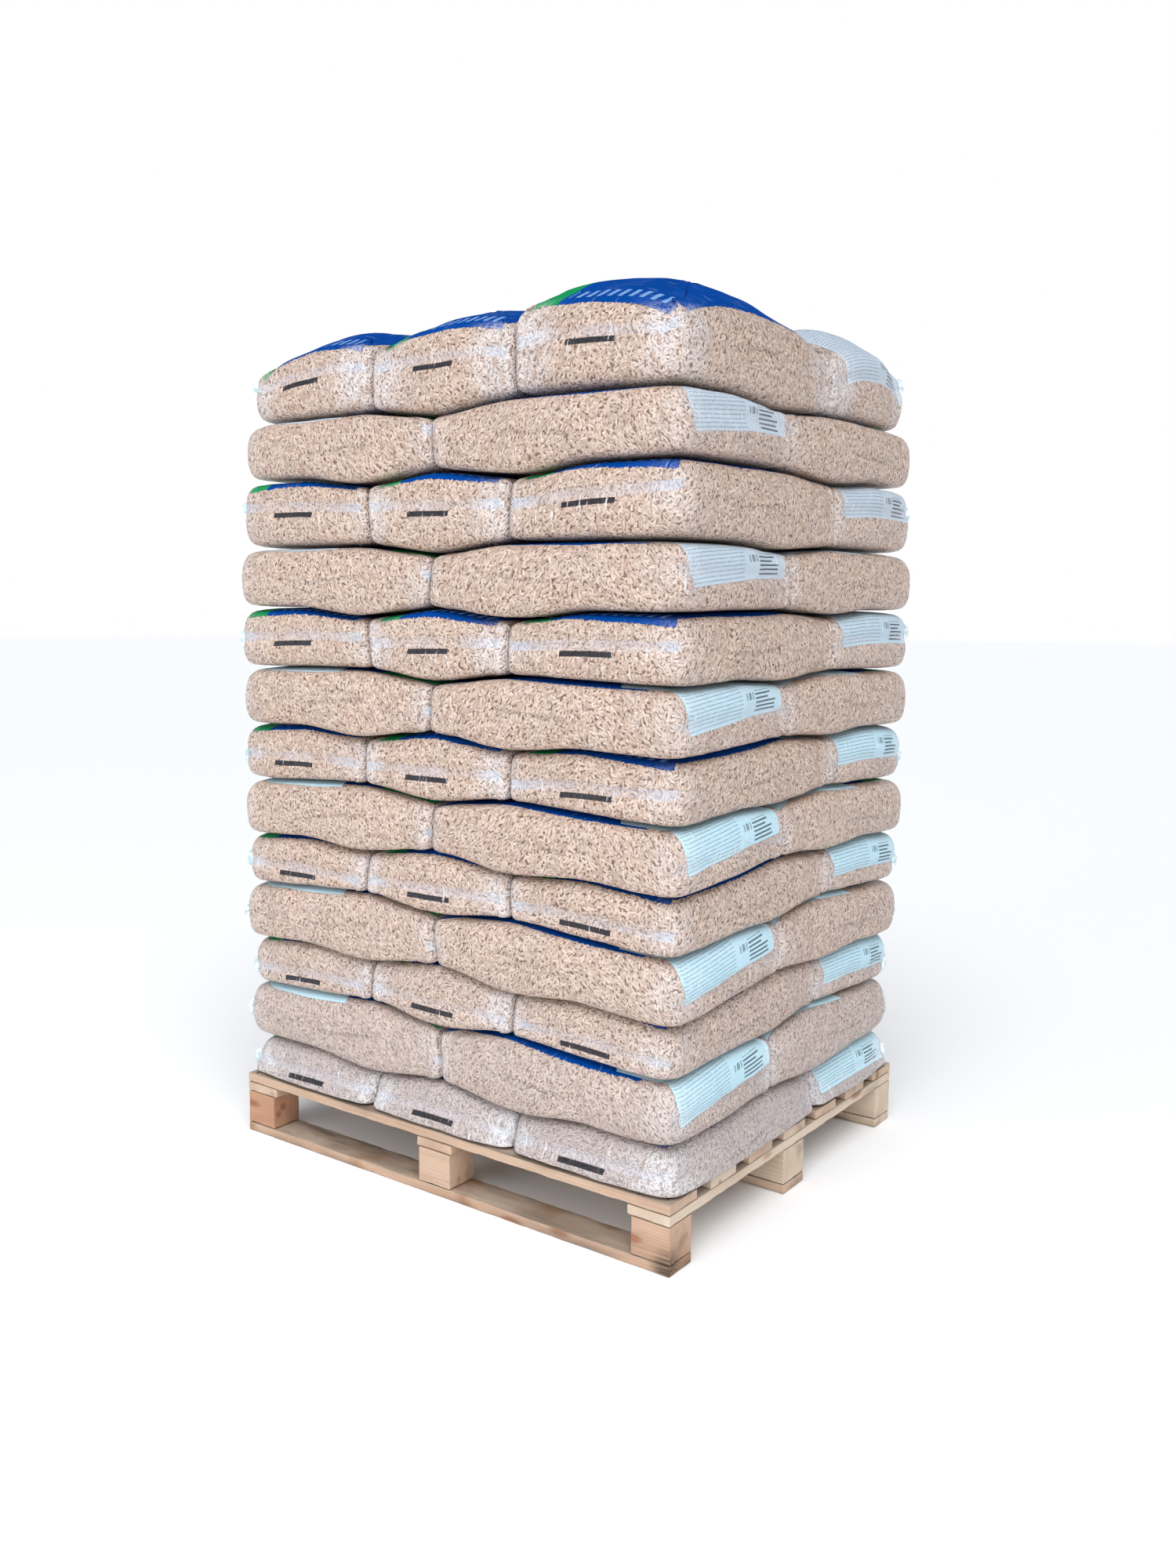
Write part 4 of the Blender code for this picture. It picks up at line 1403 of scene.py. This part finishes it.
def pine_material(name, grey_share):
    """Rough sawn pine: matt, with bands of rings, fine fibres and knots, greyed above and dirty low down."""
    material, tree, shader = new_material(name)
    at = add_node(tree, "ShaderNodeAttribute", attribute_name="grain_at").outputs["Vector"]
    red = add_node(tree, "ShaderNodeAttribute", attribute_name="red").outputs["Fac"]
    upper = add_node(tree, "ShaderNodeAttribute", attribute_name="upper").outputs["Fac"]
    sway = stretched_noise(tree, at, 1.0, 2.0, SWAY_STRETCH)
    across = add_node(tree, "ShaderNodeSeparateXYZ", (at,)).outputs
    squared = summed(tree, times(tree, across[1], across[1]), (across[2], across[2]))
    from_pith = add_node(tree, "ShaderNodeMath", (squared,), operation="SQRT").outputs[0]
    ring_at = summed(tree, times(tree, from_pith, RINGS_PER_METRE), (sway, 2.6))
    within_ring = add_node(tree, "ShaderNodeMath", (ring_at,), operation="FRACT").outputs[0]
    fibre = stretched_noise(tree, at, 1.0, 3.0, FIBRE_STRETCH)
    knot_at = add_node(tree, "ShaderNodeVectorMath", (at, KNOT_STRETCH), operation="MULTIPLY").outputs[0]
    sockets = {"Vector": knot_at, "Scale": 1.0, "Randomness": 1.0}
    knot = add_node(tree, "ShaderNodeTexVoronoi", sockets).outputs["Distance"]
    ring = soft_steps(tree, (within_ring, 0.25, 1.0))
    grain = summed(tree, times(tree, fibre, 0.8), (ring, 0.28), clamp=True)
    shade = summed(tree, times(tree, grain, 0.65), (soft_steps(tree, (sway, 0.3, 0.75)), 0.4), clamp=True)
    pale_wood = painted(tree, linear("#d8c8b6"), (shade, linear("#b09a84")))
    red_wood = painted(tree, linear("#c4987a"), (shade, linear("#8f6248")))

    stains = stretched_noise(tree, at, 1.3, 4.0, SWAY_STRETCH)
    stained = soft_steps(tree, (stains, 0.55, 0.72, 0.0, 0.45))
    greyed = summed(tree, stained, (upper, grey_share), clamp=True)
    weather = painted(tree, linear("#a59b8d"), (soft_steps(tree, (stains, 0.35, 0.68)), linear("#5f584e")))
    place = add_node(tree, "ShaderNodeTexCoord").outputs["Object"]
    height = add_node(tree, "ShaderNodeSeparateXYZ", (place,)).outputs[2]
    rust_at = add_node(tree, "ShaderNodeTexNoise", {"Vector": place, "Scale": 9.0, "Detail": 3.0}).outputs[0]
    sockets = (place, SCUFFED_CORNER)
    from_scuff = add_node(tree, "ShaderNodeVectorMath", sockets, operation="DISTANCE").outputs[1]
    scuffed = soft_steps(tree, (from_scuff, 0.016, 0.055, 0.9, 0.0), (fibre, 0.35, 0.6, 0.3, 1.0))
    colour = painted(
        tree,
        painted(tree, pale_wood, (red, red_wood)),
        (soft_steps(tree, (knot, 0.10, 0.22, 0.75, 0.0)), linear("#8a5535")),
        (times(tree, greyed, 0.9), weather),
        (soft_steps(tree, (height, 0.012, 0.040, 0.65, 0.12), (rust_at, 0.50, 0.66)), linear("#8c6038")),
        (soft_steps(tree, (height, 0.0, 0.026, 0.70, 0.0), (stains, 0.35, 0.6)), linear("#625446")),
        (scuffed, linear("#33291f")),
    )
    bump = add_node(tree, "ShaderNodeBump", {"Height": grain, "Distance": 0.0009, "Strength": 0.6}).outputs[0]
    tree.links.new(colour, shader.inputs["Base Color"])
    tree.links.new(bump, shader.inputs["Normal"])
    shader.inputs["Roughness"].default_value = 0.75
    shader.inputs["IOR"].default_value = 1.45
    return material


pale_pine = pine_material("rough_sawn_pine", 0.35)
grey_pine = pine_material("rough_sawn_pine_greyed_on_top", 0.75)
for number, (name, piece) in enumerate(wood_pieces.items()):
    is_board = name.startswith(("deck", "bottom"))
    made_plain(piece, saw_waves, {"Seed": float(number), "Material": grey_pine if is_board else pale_pine})
    piece.data.name = piece.name
    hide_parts(name)
    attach(piece, "root")
print(len(wood_pieces), "pieces of wood in place")

# %% [markdown]
# ## Nails
# Each deck board is nailed to the blocks below with three ring nails. The
# heads are one small disc set on points by Geometry Nodes, turned by chance.

# %% Geometry Nodes: nail heads
NAIL_SETS = ((-0.028, -0.020), (0.0, 0.022), (0.028, -0.012))
NAIL_SINK = 0.0006
NAIL_SPREAD_Y = 1.9


def nail_tree():
    """Sets a nail's head on each point: a low disc with a bevelled rim, tipped and turned by chance."""
    tree, given = shape_tree("nail_heads", {"Head Radius": 0.0038, "Head Thickness": 0.0014})
    sockets = {"Vertices": 16, "Radius": given["Head Radius"], "Depth": given["Head Thickness"]}
    disc = add_node(tree, "GeometryNodeMeshCylinder", sockets).outputs[0]
    sockets = {"Vertices": 16, "Radius Top": 0.0016, "Radius Bottom": given["Head Radius"], "Depth": 0.0006}
    rim = add_node(tree, "GeometryNodeMeshCone", sockets).outputs[0]
    lift = add_node(tree, "ShaderNodeCombineXYZ", {2: times(tree, given["Head Thickness"], 0.499)}).outputs[0]
    rim = add_node(tree, "GeometryNodeTransform", {"Geometry": rim, "Translation": lift}).outputs[0]
    join = add_node(tree, "GeometryNodeJoinGeometry")
    tree.links.new(disc, join.inputs[0])
    tree.links.new(rim, join.inputs[0])
    sockets = {0: (-0.12, -0.12, 0.0), 1: (0.12, 0.12, 6.28), 8: 3}
    turn = add_node(tree, "FunctionNodeRandomValue", sockets, data_type="FLOAT_VECTOR").outputs[0]
    sockets = {"Points": given["Geometry"], "Instance": join.outputs[0], "Rotation": turn}
    placed = add_node(tree, "GeometryNodeInstanceOnPoints", sockets).outputs[0]
    return ended_tree(tree, placed, given["Material"])


nail_nodes = nail_tree()
print("nodes in the tree of the nails:", len(nail_nodes.nodes))

# %% Nails in place
def nail_material():
    """Bright wire nails dull quickly outdoors: grey iron with brown bloom that reads dark on the pine."""
    material, tree, shader = new_material("weathered_wire_nail_iron")
    place = add_node(tree, "ShaderNodeTexCoord").outputs["Object"]
    bloom = add_node(tree, "ShaderNodeTexNoise", {"Vector": place, "Scale": 300.0, "Detail": 2.0}).outputs[0]
    colour = painted(tree, linear("#6e6c69"), (soft_steps(tree, (bloom, 0.4, 0.65)), linear("#5a3a26")))
    tree.links.new(colour, shader.inputs["Base Color"])
    shader.inputs["Metallic"].default_value = 0.8
    shader.inputs["Roughness"].default_value = 0.5
    return material


nail_places = []
for name in wood_nodes:
    if name.startswith("deck"):
        low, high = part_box(name)
        for column in ("left", "middle", "right"):
            block_low, block_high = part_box(f"stringer_{column}")
            middle = ((block_low[0] + block_high[0]) / 2, (low[1] + high[1]) / 2)
            nail_places += [
                (middle[0] + x, middle[1] + y * NAIL_SPREAD_Y, high[2] - NAIL_SINK) for x, y in NAIL_SETS
            ]
nail_heads = points_with_ways("nail_heads", nail_places, [(0.0, 0.0, 1.0)] * len(nail_places))
made_plain(nail_heads, nail_nodes, {"Material": nail_material()})
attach(nail_heads, "root")
print(len(nail_places), "nail heads")

# %% [markdown]
# ## Floor and light
# The photograph's light is even, with hardly a shadow. So the load stands on
# a plain pale floor in a studio: a very wide sun and a pale sky give the even
# light, brighter from the front and left, a large soft lamp opens the front,
# and a small one the foot of the near corner. Rays that come straight from
# the camera see the sky white.

# %% Floor
FLOOR_RADIUS = 40.0
floor_shape = bmesh.new()
bmesh.ops.create_circle(floor_shape, cap_ends=True, segments=96, radius=FLOOR_RADIUS)
floor_mesh = bpy.data.meshes.new("floor")
floor_shape.to_mesh(floor_mesh)
floor_shape.free()
floor = bpy.data.objects.new("floor", floor_mesh)
bpy.context.scene.collection.objects.link(floor)
floor_material, floor_tree, floor_shader = new_material("pale_matt_floor")
speckle = add_node(floor_tree, "ShaderNodeTexNoise", {"Scale": 3.0, "Detail": 2.0}).outputs[0]
floor_white = painted(floor_tree, linear("#f8f8f8"), (speckle, linear("#fafafa")))
floor_tree.links.new(floor_white, floor_shader.inputs["Base Color"])
floor_shader.inputs["Roughness"].default_value = 0.9
floor_mesh.materials.append(floor_material)
print("floor", 2 * FLOOR_RADIUS, "m across")

# %% Lamps and sun
def soft_light(name, place, aim, size, power):
    """A round white lamp of a given size and power, aimed at a point."""
    data = bpy.data.lights.new(name, "AREA")
    data.shape = "DISK"
    data.size = size
    data.energy = power
    light = bpy.data.objects.new(name, data)
    light.location = place
    light.rotation_euler = (Vector(aim) - Vector(place)).to_track_quat("-Z", "Y").to_euler()
    bpy.context.scene.collection.objects.link(light)


soft_light("key_light", (-0.9, -4.6, 1.9), (0, 0, 0.95), 2.4, 44)
soft_light("low_fill", (2.5, -2.7, 0.40), (0.3, -0.3, 0.2), 1.4, 20)
sun_data = bpy.data.lights.new("even_light", "SUN")
sun_data.energy = 2.7
sun_data.angle = math.radians(50)
even_light = bpy.data.objects.new("even_light", sun_data)
even_light.rotation_euler = Vector((-0.33, 0.46, -0.82)).to_track_quat("-Z", "Y").to_euler()
bpy.context.scene.collection.objects.link(even_light)
print("lights:", len(bpy.data.lights))

# %% Sky
world = bpy.data.worlds.new("studio")
world.use_nodes = True
sky = world.node_tree
way = add_node(sky, "ShaderNodeTexCoord").outputs["Generated"]
way_up = add_node(sky, "ShaderNodeSeparateXYZ", (way,)).outputs[2]
graded = painted(sky, linear("#ffffff"), (soft_steps(sky, (way_up, 0.08, 0.42)), linear("#8f959e")))
seen_directly = add_node(sky, "ShaderNodeLightPath").outputs["Is Camera Ray"]
sky_colour = painted(sky, graded, (seen_directly, linear("#ffffff")))
sky.links.new(sky_colour, sky.nodes["Background"].inputs[0])
sky.nodes["Background"].inputs[1].default_value = 1.0
bpy.context.scene.world = world
bpy.context.scene.view_settings.view_transform = "Standard"
print("nodes in the sky:", len(sky.nodes))

# %% [markdown]
# ## The end
# The scene is brought up to date once more. The looks may pass it only by a
# hair.

# %% The end
bpy.context.view_layer.update()
